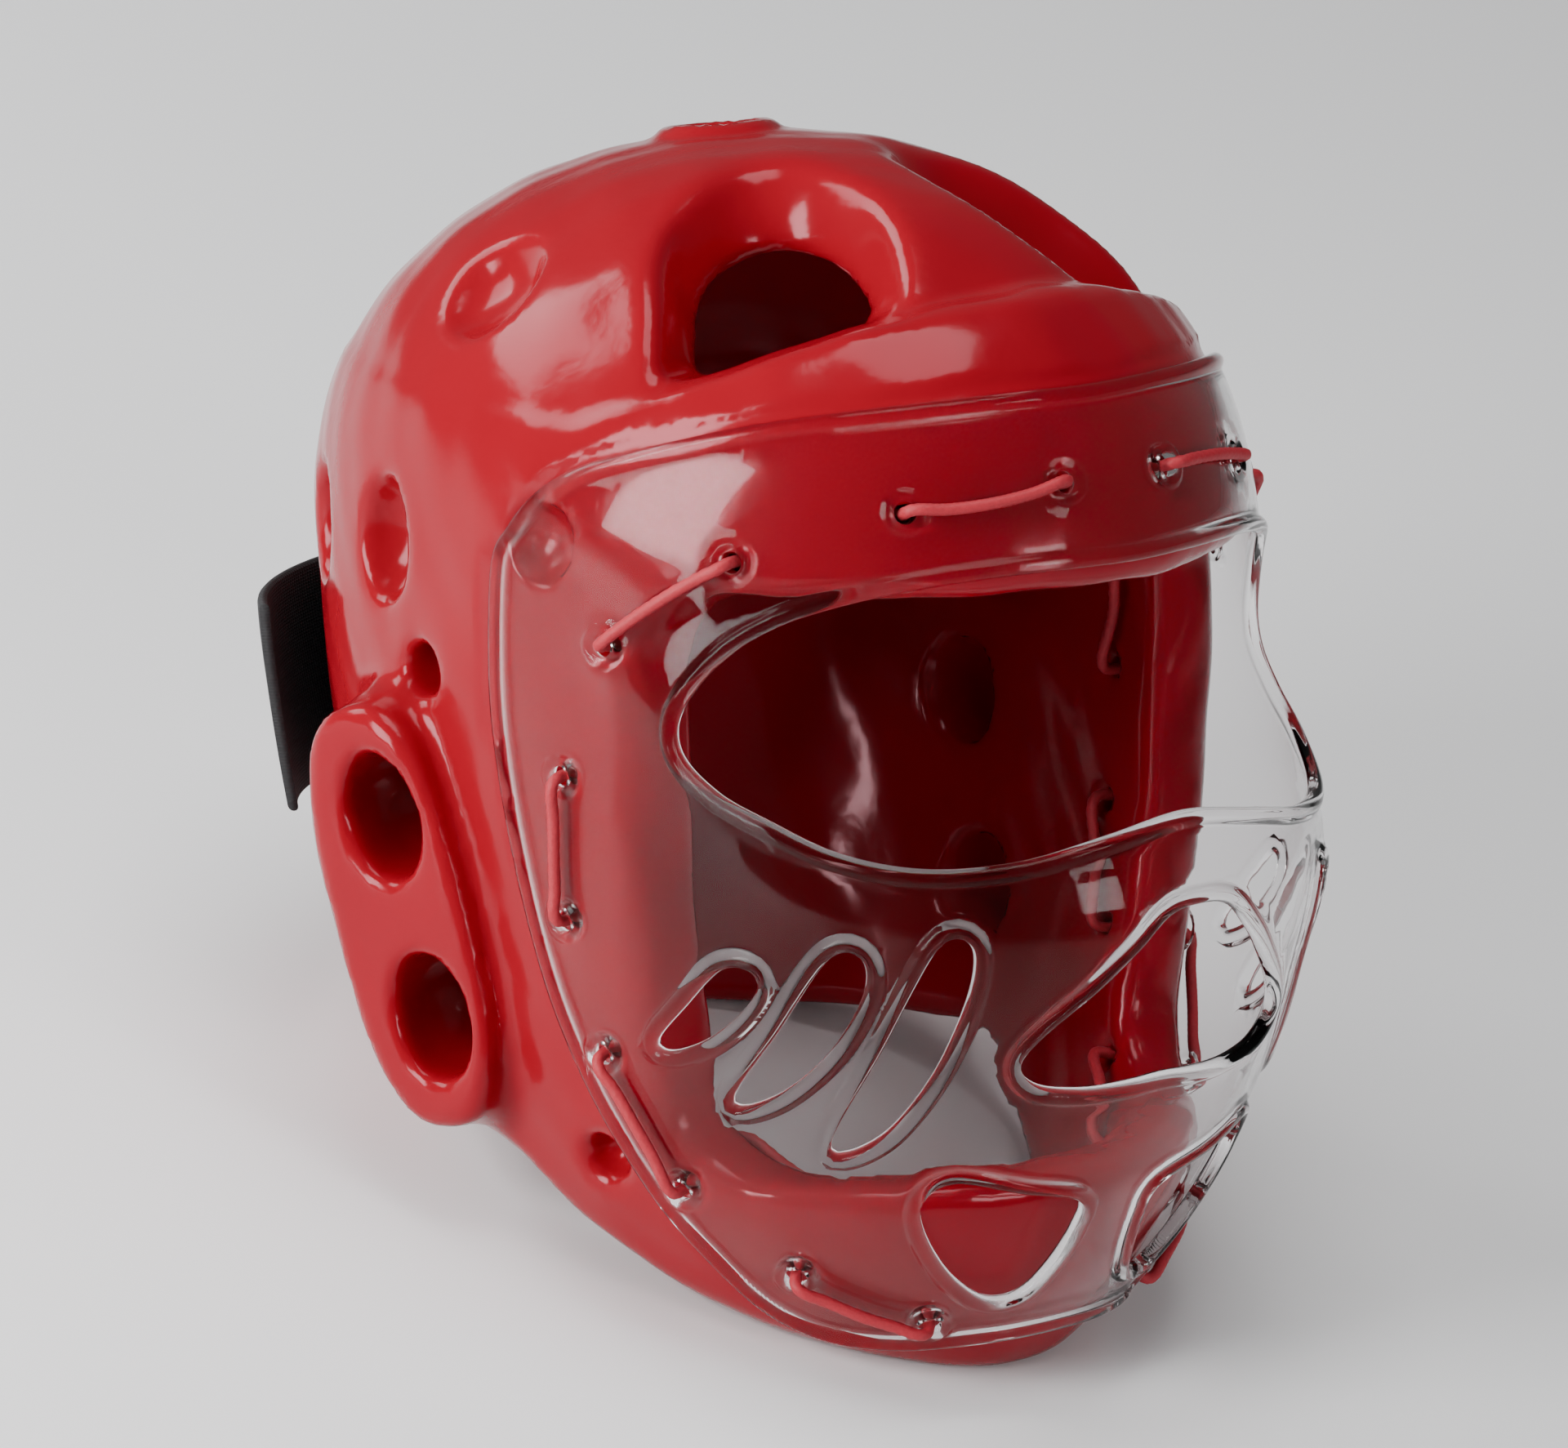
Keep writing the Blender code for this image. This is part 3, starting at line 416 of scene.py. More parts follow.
class Grid:
    """Upright box of sample points, with windows on parts of it."""

    def __init__(self, low, high, step):
        self.low, self.step = np.array(low), step
        self.axes = [np.arange(a, b + step, step) for a, b in zip(low, high)]

    def points(self, window=None):
        axes = [axis[part] for axis, part in zip(self.axes, window)] if window else self.axes
        return np.meshgrid(*axes, indexing="ij", sparse=True)

    def window(self, centre, reach):
        parts = []
        for axis, middle, half in zip(self.axes, centre, np.broadcast_to(reach, 3)):
            start = np.searchsorted(axis, middle - half)
            parts.append(slice(max(start - 1, 0), np.searchsorted(axis, middle + half) + 1))
        return tuple(parts)


def to_distance(field, step):
    """A field whose zero is a surface, scaled to read as a distance near it."""
    slopes = np.gradient(field, step)
    return field / np.maximum(np.sqrt(sum(slope**2 for slope in slopes)), 1e-6)


def skin_field(grid, reach=BAND_REACH, inset=0.0):
    """Distance outside the guard's skin, or outside the hollow an inset inside it."""
    x, y, z = grid.points()
    row = row_at(LOWER_SECTIONS, drop_share(z))
    wide, front, rear, front_power, rear_power = (row[..., i] for i in range(5))
    length = np.where(y < 0, front * reach, rear * REAR_REACH) - inset
    power = np.where(y < 0, front_power, rear_power)
    across = np.abs(x) / (wide * HALF_WIDTH - inset)
    level = (across**power + (np.abs(y) / length) ** power) ** (1 / power)
    climb = np.maximum(z - BROW_HEIGHT, 0) / (CROWN_HEIGHT - inset - BROW_HEIGHT)
    return to_distance((level**DOME_POWER + climb**DOME_POWER) ** (1 / DOME_POWER) - 1, grid.step)


def oval_distance(parts, sizes):
    """Rough distance outside an ellipsoid from coordinates along its half axes."""
    near = np.sqrt(sum((part / size) ** 2 for part, size in zip(parts, sizes)))
    steep = np.sqrt(sum((part / size**2) ** 2 for part, size in zip(parts, sizes)))
    return near * (near - 1) / np.maximum(steep, 1e-6)


def floor_slope():
    return (CHIN_DROP - NAPE_DROP) / (CHIN_TIP + NAPE_FOOT_FRONT)


def rim_height(y):
    """Height of the guard's lower rim: the plane it stands on, and the arch under each ear."""
    share = (y + CHIN_FOOT_BACK) / (NAPE_FOOT_FRONT + CHIN_FOOT_BACK)
    lift = np.where((share > 0) & (share < 1), row_at(JAW_SECTIONS, share)[..., 0], 0)
    return -CHIN_DROP + floor_slope() * (y + CHIN_TIP) + JAW_ARCH * lift


def guard_field(grid):
    """Distance outside the whole guard."""
    x, y, z = grid.points()
    forehead = skin_field(grid)
    dome = skin_field(grid, DOME_REACH)
    azimuth = np.arctan2(x, -y)
    ledge = np.maximum(BAND_TOP - BAND_FALL * (1 - np.cos(azimuth)), BAND_TOP_SIDE)
    field = soft_union(dome, soft_common(forehead, z - ledge, LEDGE_EDGE), SEAM_EDGE)
    hollow = skin_field(grid, BAND_REACH, FOAM)
    cut_arches(grid, field, dome)
    for side in (-1, 1):
        add_ear_pad(grid, field, side)
    field[:] = soft_cut(field, hollow, HOLLOW_EDGE)
    cut_face(grid, field)
    cut_vents(grid, field, dome)
    cut_slit(grid, field)
    for side in (-1, 1):
        cut_ear_holes(grid, field, side)
    cut_lace_holes(grid, field)
    rim = (rim_height(y) - z) * math.cos(math.atan(floor_slope()))
    return soft_common(field, rim, RIM_EDGE)


def cut_arches(grid, field, dome):
    """Flared holes beside the crown, wide at the skin and narrow at the hollow."""
    turn, rise = math.radians(ARCH_AZIMUTH), math.radians(ARCH_RISE)
    right = (math.cos(turn), -math.sin(turn), 0)
    up = (math.sin(turn) * math.sin(rise), math.cos(turn) * math.sin(rise), math.cos(rise))
    for side in (-1, 1):
        window = grid.window((side * 0.048, -0.048, 0.100), (0.062, 0.066, 0.050))
        x, y, z = grid.points(window)
        mirrored = -side * x
        across = mirrored * right[0] + y * right[1] + ARCH_SHIFT
        height = mirrored * up[0] + y * up[1] + z * up[2]
        flare = np.clip(1 + dome[window] / FOAM, 0, 1.2) ** 1.1
        half = ARCH_THROAT_HALF_WIDTH + (ARCH_RIM_HALF_WIDTH - ARCH_THROAT_HALF_WIDTH) * flare
        top = ARCH_THROAT_TOP + (ARCH_RIM_TOP - ARCH_THROAT_TOP) * flare
        sides = np.hypot(across, np.maximum(height - top + half, 0)) - half
        foot = ARCH_FOOT + ARCH_FOOT_SLOPE * across - height
        hole = soft_common(sides, foot, ARCH_FOOT_EDGE)
        outward = -mirrored * math.sin(turn) - y * math.cos(turn)
        hole = np.maximum(hole, 0.012 - outward)
        field[window] = soft_cut(field[window], hole, ARCH_EDGE)


def ear_axes(side):
    """Centre of an ear pad's face, with its directions outward, down and forward."""
    centre = np.array((side * EAR_OUT, EAR_BACK, -EAR_HEIGHT))
    slant, lean, turn = (math.radians(angle) for angle in (EAR_SLANT, EAR_LEAN, EAR_TURN))
    down = np.array((-side * math.tan(lean), -math.tan(slant), -1))
    down /= np.linalg.norm(down)
    outward = np.array((side * math.cos(turn), -math.sin(turn), 0))
    outward -= down * outward.dot(down)
    outward /= np.linalg.norm(outward)
    across = np.cross(outward, down)
    return centre, outward, down, across * -side


def ear_parts(grid, side, reach):
    """Window round an ear pad, with its depth, along and forward coordinates."""
    centre, outward, down, forward = ear_axes(side)
    window = grid.window(centre, reach)
    offsets = [axis - middle for axis, middle in zip(grid.points(window), centre)]

    def along(direction):
        return sum(offset * part for offset, part in zip(offsets, direction))

    return window, -along(outward), along(down), along(forward)


def add_ear_pad(grid, field, side):
    """Flat-faced oval pad that widens toward the shell."""
    window, depth, along, forward = ear_parts(grid, side, (0.055, 0.058, 0.078))
    longer, wider, shift = (row_at(EAR_SECTIONS, depth / FOAM)[..., i] * FOAM for i in range(3))
    long_half, wide_half = (EAR_LENGTH + longer) / 2, (EAR_WIDTH + wider) / 2
    oval = np.abs(along / long_half) ** EAR_POWER + np.abs((forward - shift) / wide_half) ** EAR_POWER
    walls = to_distance(oval ** (1 / EAR_POWER) - 1, grid.step)
    pad = soft_common(walls, -depth, EAR_EDGE)
    pad = np.maximum(pad, depth - 2 * FOAM)
    field[window] = soft_union(field[window], pad, EAR_FILLET)


def cut_ear_holes(grid, field, side):
    """Two oval holes that narrow a little inward."""
    window, depth, along, forward = ear_parts(grid, side, (0.075, 0.058, 0.078))
    for shift in (-EAR_HOLE_SPACING / 2, EAR_HOLE_SPACING / 2):
        size = 0.80 + 0.20 * np.exp(-np.maximum(depth, 0) / FOAM)
        sizes = (EAR_HOLE_LENGTH / 2 * size, EAR_HOLE_WIDTH / 2 * size)
        hole = oval_distance((along - shift, forward - EAR_HOLE_FORWARD), sizes)
        hole = np.maximum(hole, depth - 3 * FOAM)
        field[window] = soft_cut(field[window], hole, HOLE_EDGE)


def cut_face(grid, field):
    """Face opening with round corners at the cheeks."""
    _, y, z = grid.points()
    middle, half = (FACE_TOP - FACE_BOTTOM) / 2, (FACE_TOP + FACE_BOTTOM) / 2
    above = np.maximum(np.abs(z - middle) - half + FACE_CORNER, 0)
    behind = np.maximum(y + CHEEK_FRONT + FACE_CORNER, 0)
    inside = np.maximum(np.abs(z - middle) - half, y + CHEEK_FRONT)
    opening = np.where((above > 0) & (behind > 0), np.hypot(above, behind) - FACE_CORNER, inside)
    field[:] = soft_cut(field, opening, FACE_EDGE)


def cut_vents(grid, field, dome):
    """Ringed vent on the crown, and the dishes and vents of both sides."""
    window = grid.window((0, CROWN_VENT_BACK, CROWN_HEIGHT), 0.026)
    x, y, z = grid.points(window)
    away = np.hypot(x, y - CROWN_VENT_BACK)
    ring = np.hypot(away - CROWN_VENT_RADIUS - CROWN_RING_OUT, dome[window]) - CROWN_RING_RADIUS
    field[window] = soft_union(field[window], ring, HOLE_EDGE)
    field[window] = soft_cut(field[window], away - CROWN_VENT_RADIUS * 0.85, HOLE_EDGE)
    for azimuth, share, half_width, half_height, depth in VENTS:
        for side in (-1, 1):
            centre, normal = surface_point(skin_radius, side * azimuth, height_at(share))
            across = np.cross((0, 0, 1), normal)
            across /= np.linalg.norm(across)
            up = np.cross(normal, across)
            window = grid.window(centre, 0.024)
            offsets = [axis - middle for axis, middle in zip(grid.points(window), centre)]
            parts = [sum(o * d for o, d in zip(offsets, axis)) for axis in (across, up, normal)]
            vent = oval_distance(parts, (half_width * 1.15, half_height * 1.15, depth * FOAM))
            field[window] = soft_cut(field[window], vent, VENT_EDGE)


def cut_slit(grid, field):
    """Slit up the middle of the back."""
    x, y, z = grid.points()
    half = SLIT_WIDTH / 2
    slit = np.hypot(x, np.maximum(z - SLIT_TOP + half, 0)) - half
    slit = np.maximum(slit, 0.03 - y)
    field[:] = soft_cut(field, slit, SLIT_EDGE)


def cut_lace_holes(grid, field):
    """Punched holes under the mask, through the foam."""
    azimuths = np.array([side * azimuth for azimuth, _ in LACE_HOLES for side in (-1, 1)])
    heights = np.array([height_at(share) for _, share in LACE_HOLES for _ in (-1, 1)])
    centres, normals = surface_point(mask_radius, azimuths, heights)
    for centre, normal in zip(centres, normals):
        window = grid.window(centre - normal * FOAM, 0.034)
        offsets = [axis - middle for axis, middle in zip(grid.points(window), centre)]
        along = sum(o * n for o, n in zip(offsets, normal))
        away = np.sqrt(np.maximum(sum(o**2 for o in offsets) - along**2, 0))
        field[window] = soft_cut(field[window], away - LACE_HOLE_RADIUS, PUNCHED_EDGE)


def sample(grid, field, points):
    """Field at points between the grid's own, and its slope there."""
    spot = (points - grid.low) / grid.step
    cell = np.clip(np.floor(spot).astype(int), 0, np.array(field.shape) - 2)
    t = spot - cell
    corner = {
        (i, j, k): field[cell[:, 0] + i, cell[:, 1] + j, cell[:, 2] + k]
        for i in (0, 1) for j in (0, 1) for k in (0, 1)
    }
    weights = [(1 - t[:, axis], t[:, axis]) for axis in range(3)]
    value = np.zeros(len(points))
    slope = np.zeros((len(points), 3))
    for (i, j, k), level in corner.items():
        wx, wy, wz = weights[0][i], weights[1][j], weights[2][k]
        value += level * wx * wy * wz
        slope[:, 0] += level * (2 * i - 1) * wy * wz
        slope[:, 1] += level * wx * (2 * j - 1) * wz
        slope[:, 2] += level * wx * wy * (2 * k - 1)
    return value, slope / grid.step


def surface_net(grid, field):
    """Closed mesh of quads on a field's zero: one vertex in each cell that the surface crosses."""
    inside = field < 0
    shape = np.array(field.shape) - 1
    corners = [(i, j, k) for i in (0, 1) for j in (0, 1) for k in (0, 1)]

    def shifted(values, corner):
        return values[tuple(slice(c, c + n) for c, n in zip(corner, shape))]

    count = sum(shifted(inside, corner).astype(np.int8) for corner in corners)
    cells = np.argwhere((count > 0) & (count < 8))
    number = np.full(shape, -1)
    number[tuple(cells.T)] = np.arange(len(cells))
    total, crossings = np.zeros((len(cells), 3)), np.zeros((len(cells), 1))
    for axis in range(3):
        for corner in corners:
            if corner[axis]:
                continue
            first = cells + np.array(corner)
            second = first + np.eye(3, dtype=int)[axis]
            a, b = field[tuple(first.T)], field[tuple(second.T)]
            crossed = (a < 0) != (b < 0)
            share = np.where(crossed, a / np.where(a == b, 1, a - b), 0)
            total += np.where(crossed[:, None], first + share[:, None] * np.eye(3)[axis], 0)
            crossings += crossed[:, None]
    points = grid.low + grid.step * total / crossings
    quads = []
    for axis in range(3):
        side, other = (axis + 1) % 3, (axis + 2) % 3
        ahead = [slice(1, -1)] * 3
        ahead[axis] = slice(0, -1)
        start = inside[tuple(ahead)]
        ahead[axis] = slice(1, None)
        end = inside[tuple(ahead)]
        crossed = np.argwhere(start != end)
        leaving = start[tuple(crossed.T)]
        base = crossed + np.array([0 if i == axis else 1 for i in range(3)])
        steps = ((0, 0), (1, 0), (1, 1), (0, 1))
        ring = []
        for back, down in steps:
            cell = base.copy()
            cell[:, side] -= back
            cell[:, other] -= down
            ring.append(number[tuple(cell.T)])
        ring = np.stack(ring, 1)
        ring[~leaving] = ring[~leaving][:, ::-1]
        quads.append(ring)
    for _ in range(3):
        value, slope = sample(grid, field, points)
        push = slope * (value / np.maximum((slope**2).sum(1), 0.04))[:, None]
        points -= np.clip(push, -grid.step / 2, grid.step / 2)
    return points, np.concatenate(quads)


def mesh_object(name, points, faces, shader, parent):
    data = bpy.data.meshes.new(name)
    data.from_pydata(np.asarray(points).tolist(), [], [list(face) for face in faces])
    data.update()
    data.shade_smooth()
    data.materials.append(shader)
    piece = bpy.data.objects.new(name, data)
    bpy.context.scene.collection.objects.link(piece)
    piece.parent = parent
    return piece


def press_under_mask(points):
    """Moves skin back to where the laced mask holds it."""
    azimuth = np.degrees(np.arctan2(points[:, 0], -points[:, 1]))
    radius = np.hypot(points[:, 0], points[:, 1])
    columns = np.array([(a, height_at(low), height_at(high)) for a, low, high in MASK_COLUMNS])
    low = np.interp(np.abs(azimuth), columns[:, 0], columns[:, 1])
    high = np.interp(np.abs(azimuth), columns[:, 0], columns[:, 2])
    beyond = np.radians(np.abs(azimuth) - columns[-1, 0]) * radius
    outside = np.maximum(np.maximum(points[:, 2] - high, low - points[:, 2]), beyond)
    limit = mask_radius(azimuth, points[:, 2]) - MASK_THICKNESS / 2 - GAP
    limit += 0.0016 * smooth_step((outside - 0.001) / 0.005)
    near = (outside < 0.006) & (radius > limit) & (radius < limit + 0.006)
    points[near, :2] *= (limit / radius)[near, None]
    return points


def undulate(points):
    """Faint unevenness of a dipped coat."""
    waves = (
        (0.00022, (61, 37, 23), 0.4),
        (0.00016, (-47, 71, 55), 1.9),
        (0.00012, (113, -89, 67), 3.1),
        (0.00008, (151, 173, -127), 5.0),
    )
    shift = np.zeros(len(points))
    for size, rate, phase in waves:
        shift += size * np.sin(points @ np.array(rate) * 2 + phase)
    return shift


def build_guard(parent, shader):
    """Shell and ear pads as one dipped skin."""
    grid = Grid((-0.124, -0.126, -0.146), (0.124, 0.126, 0.142), STEP)
    field = guard_field(grid)
    points, faces = surface_net(grid, field)
    _, slope = sample(grid, field, points)
    normal = slope / np.maximum(np.linalg.norm(slope, axis=1, keepdims=True), 1e-6)
    ground = points[:, 2] - (-CHIN_DROP + floor_slope() * (points[:, 1] + CHIN_TIP))
    points += normal * (undulate(points) * smooth_step(ground / 0.004))[:, None]
    points = press_under_mask(points)
    return mesh_object("guard", points, faces, shader, parent)


# Face mask


def smooth_loop(points, steps):
    """Closed smooth curve through points, with some steps from each point to the next."""
    points = np.asarray(points, float)
    before, after, last = np.roll(points, 1, 0), np.roll(points, -1, 0), np.roll(points, -2, 0)
    t = np.linspace(0, 1, steps, endpoint=False)[:, None, None]
    fine = 0.5 * (2 * points + (after - before) * t + (2 * before - 5 * points + 4 * after - last) * t**2
                  + (3 * points - before - 3 * after + last) * t**3)
    fine = np.swapaxes(fine, 0, 1).reshape(-1, points.shape[1])
    return np.vstack([fine, fine[:1]])


def even_loop(values, spots, spacing):
    """Values along a closed run of spots at an even spacing, and the run's length."""
    lengths = np.concatenate([[0], np.cumsum(np.linalg.norm(np.diff(spots, axis=0), axis=1))])
    count = max(int(lengths[-1] / spacing + 0.5), 12)
    marks = np.arange(count) * lengths[-1] / count
    even = np.stack([np.interp(marks, lengths, column) for column in values.T], 1)
    return even, lengths[-1]


def mask_loop(points):
    """Smooth closed curve of (azimuth, height) over the mask."""
    fine = smooth_loop(points, 24)
    spots, _ = surface_point(mask_radius, fine[:, 0], fine[:, 1])
    return even_loop(fine, spots, MASK_SPACING)[0]


def mirrored_outline(columns):
    """Outline of a form that both sides share, from its lower and upper edge."""
    half = [(azimuth, height_at(low), height_at(high)) for azimuth, low, high in columns]
    both = [(-azimuth, low, high) for azimuth, low, high in half[:0:-1]] + half
    lower = [(azimuth, low) for azimuth, low, _ in both]
    upper = [(azimuth, high) for azimuth, _, high in both]
    return lower + upper[::-1]


def mask_outlines():
    """Outline of the mask and of each opening in it, and which of them have a small lip."""
    edge = mask_loop(mirrored_outline(MASK_COLUMNS))
    openings = [(mask_loop(mirrored_outline(EYE_COLUMNS)), 1.0)]
    half = [(azimuth, height_at(share)) for azimuth, share in MOUTH_OUTLINE]
    mouth = half + [(-azimuth, height) for azimuth, height in half[-2:0:-1]]
    openings.append((mask_loop(mouth), 1.0))
    for side in (-1, 1):
        for outline in (*SLOT_OUTLINES, CHIN_OUTLINE):
            opening = [(side * azimuth, height_at(share)) for azimuth, share in outline]
            openings.append((mask_loop(opening), 1.0))
        for azimuth, share in LACE_HOLES:
            height = height_at(share)
            per_degree = math.radians(mask_radius(azimuth, height))
            turns = np.linspace(0, 2 * math.pi, 16, endpoint=False)
            hole = np.stack([
                side * azimuth + LACE_HOLE_RADIUS * np.cos(turns) / per_degree,
                height + LACE_HOLE_RADIUS * np.sin(turns),
            ], 1)
            openings.append((hole, SMALL_LIP))
    return edge, openings


def ring_inside(loop, distance, outward):
    """Loop moved over the mask by a real distance, away from an opening or in from the edge."""
    along = np.roll(loop, -1, 0) - np.roll(loop, 1, 0)
    per_degree = np.radians(mask_radius(loop[:, 0], loop[:, 1]))
    climb = 0.001
    lean = (mask_radius(loop[:, 0], loop[:, 1] + climb) - mask_radius(loop[:, 0], loop[:, 1] - climb))
    stretch = np.hypot(1, lean / (2 * climb))
    run = np.stack([along[:, 0] * per_degree, along[:, 1] * stretch], 1)
    run /= np.linalg.norm(run, axis=1, keepdims=True)
    area = np.sum(loop[:, 0] * np.roll(loop[:, 1], -1) - np.roll(loop[:, 0], -1) * loop[:, 1])
    sign = np.sign(area) * (1 if outward else -1)
    return loop + distance * sign * np.stack([run[:, 1] / per_degree, -run[:, 0] / stretch], 1)


def nearest_loop(points, loops):
    """Distance of each point from the nearest loop, and that loop's number."""
    best, owner = np.full(len(points), np.inf), np.zeros(len(points), int)
    for number, loop in enumerate(loops):
        following = np.roll(loop, -1, 0)
        for start in range(0, len(points), 4000):
            part = points[start:start + 4000]
            low, high = loop.min(0) - 0.012, loop.max(0) + 0.012
            close = np.all((part > low) & (part < high), axis=1)
            if not close.any():
                continue
            spot = part[close][:, None]
            run = (following - loop)[None]
            share = np.clip(((spot - loop[None]) * run).sum(2) / (run**2).sum(2), 0, 1)
            away = np.linalg.norm(spot - loop[None] - share[..., None] * run, axis=2).min(1)
            index = start + np.flatnonzero(close)
            nearer = away < best[index]
            best[index[nearer]] = away[nearer]
            owner[index[nearer]] = number
    return best, owner


def inside_loop(points, loop):
    """Which flat points lie inside a closed loop."""
    inside = np.zeros(len(points), bool)
    close = np.flatnonzero(np.all((points > loop.min(0)) & (points < loop.max(0)), axis=1))
    spots = points[close]
    for (ax, ay), (bx, by) in zip(loop, np.roll(loop, -1, 0)):
        if ay == by:
            continue
        crossed = (spots[:, 1] > ay) != (spots[:, 1] > by)
        crossed &= spots[:, 0] < ax + (spots[:, 1] - ay) * (bx - ax) / (by - ay)
        inside[close[crossed]] ^= True
    return inside


def build_mask(parent, shader):
    """Sheet with an outer and an inner skin that swell to a round lip along each outline."""
    edge, openings = mask_outlines()
    loops = [edge] + [loop for loop, _ in openings]
    lips = np.array([1.0] + [lip for _, lip in openings])
    scale = np.array([math.radians(0.11), 1.0])
    flat, segments = [], []
    for loop in loops:
        start = sum(len(part) for part in flat)
        flat.append(loop * scale)
        indices = list(range(start, start + len(loop)))
        segments += list(zip(indices, indices[1:] + indices[:1]))
    for number, loop in enumerate(loops):
        for distance in LIP_PROFILE[1:, 0]:
            if number and lips[number] < 1 and distance > 3.5:
                continue
            ring = ring_inside(loop, distance / 1000, outward=number > 0)
            flat.append(ring * scale)
    azimuths, heights = np.meshgrid(np.arange(-82, 82.1, 1.25), np.arange(-0.132, 0.092, 0.0022))
    azimuths[::2] += 0.6
    spread = np.stack([azimuths.ravel(), heights.ravel()], 1)
    spots, _ = surface_point(mask_radius, spread[:, 0], spread[:, 1])
    outlines = [surface_point(mask_radius, loop[:, 0], loop[:, 1])[0] for loop in loops]
    away, _ = nearest_loop(spots, outlines)
    flat.append(spread[away > 0.0060] * scale)
    vertices = [Vector(point) for point in np.concatenate(flat)]
    vertices, _, triangles, _, _, _ = delaunay_2d_cdt(vertices, segments, [], 0, 1e-7)
    vertices, triangles = np.array([vertex[:] for vertex in vertices]), np.array(triangles)
    middles = vertices[triangles].mean(1)
    kept = inside_loop(middles, edge * scale)
    for loop, _ in openings:
        kept &= ~inside_loop(middles, loop * scale)
    used, triangles = np.unique(triangles[kept], return_inverse=True)
    triangles = triangles.reshape(-1, 3)
    places = vertices[used] / scale
    spots, _ = surface_point(mask_radius, places[:, 0], places[:, 1])
    away, owner = nearest_loop(spots, outlines)
    away = np.where(np.isinf(away), 1.0, away)
    lip = lips[owner]
    away[away < 0.00004] = 0
    profile = row_linear(LIP_PROFILE, away * 1000 / np.where(lip < 1, 0.7, 1.0))
    outer = profile[:, 0] / 1000
    outer = np.where(outer > 0.001, 0.001 + (outer - 0.001) * lip, outer)
    inner = profile[:, 1] / 1000
    outside, _ = surface_point(mask_radius, places[:, 0], places[:, 1], outer)
    inside, _ = surface_point(mask_radius, places[:, 0], places[:, 1], -inner)
    on_edge = away == 0
    inner_index = np.arange(len(places)) + len(places)
    inner_index[on_edge] = np.flatnonzero(on_edge)
    points = np.concatenate([outside, inside])
    faces = np.concatenate([triangles, inner_index[triangles][:, ::-1]])
    plain = np.tile(away > PLAIN_SHEET, 2)
    true = surface_point(mask_radius, places[:, 0], places[:, 1])[1]
    true = np.concatenate([true, -true])
    used, faces = np.unique(faces, return_inverse=True)
    faces = faces.reshape(-1, 3)
    points, plain, true = points[used], plain[used], true[used]
    corners = points[faces[:len(triangles)]]
    facing = np.cross(corners[:, 1] - corners[:, 0], corners[:, 2] - corners[:, 0])
    if (facing * corners[:, 0] * (1, 1, 0)).sum() < 0:
        faces = faces[:, ::-1]
    mask = mesh_object("mask", points, faces, shader, parent)
    normals = np.array([normal.vector[:] for normal in mask.data.vertex_normals])
    true[(normals * true).sum(1) < 0] *= -1
    normals[plain] = true[plain]
    mask.data.normals_split_custom_set_from_vertices(normals.tolist())
    return mask


def row_linear(rows, share):
    """Values of a table at shares between its rows, on straight lines."""
    return np.stack([np.interp(share, rows[:, 0], rows[:, i]) for i in range(1, rows.shape[1])], -1)


# Lace


def lace_places():
    """Lace holes in the lace's order, down the right side and up the left."""
    right = [(-azimuth, height_at(share)) for azimuth, share in LACE_HOLES]
    left = [(azimuth, height_at(share)) for azimuth, share in LACE_HOLES]
    return right + left[::-1]


def cavity_depth(azimuth, height):
    """Depth below the mask at which the lace is clear of the foam, inside the guard."""
    centre, normal = surface_point(mask_radius, azimuth, height)
    depths = np.arange(FOAM / 2, 3 * FOAM, GAP)
    points = centre - normal * depths[:, None]
    turns = np.degrees(np.arctan2(points[:, 0], -points[:, 1]))
    wall = skin_radius(turns, points[:, 2], BAND_REACH, FOAM)
    clear = np.hypot(points[:, 0], points[:, 1]) + 2 * LACE_RADIUS < wall
    return depths[np.argmax(clear)] if clear.any() else 3 * FOAM


def lace_route():
    """Points of the lace: out of one hole, over the mask, in at the next, and on inside."""
    places = lace_places()
    over = MASK_THICKNESS / 2 + LACE_RADIUS + GAP
    route = []
    for pair in range(0, len(places), 2):
        start, end = np.array(places[pair]), np.array(places[pair + 1])
        following = np.array(places[(pair + 2) % len(places)])
        for spot, other, flip in ((start, end, False), (end, start, True)):
            centre, normal = surface_point(mask_radius, *spot)
            run = surface_point(mask_radius, *other)[0] - centre
            run -= normal * run.dot(normal)
            run /= np.linalg.norm(run)
            depth = cavity_depth(*spot)
            points = [centre - normal * depth, centre - normal * depth / 2,
                      centre + normal * 0.0006, centre + normal * (over + 0.0007) + run * 0.0026]
            if flip:
                points.reverse()
            route += points
            if not flip:
                for share in (0.25, 0.5, 0.75):
                    sag = 0.0012 * math.sin(math.pi * share) * (1 if pair % 4 else -1)
                    middle = start + (end - start) * share + np.array((0, sag))
                    route.append(surface_point(mask_radius, *middle, over + 0.0002)[0])
        middle = (end + following) / 2
        depth = cavity_depth(*middle)
        route.append(surface_point(mask_radius, *middle, -depth)[0])
    return np.array(route)


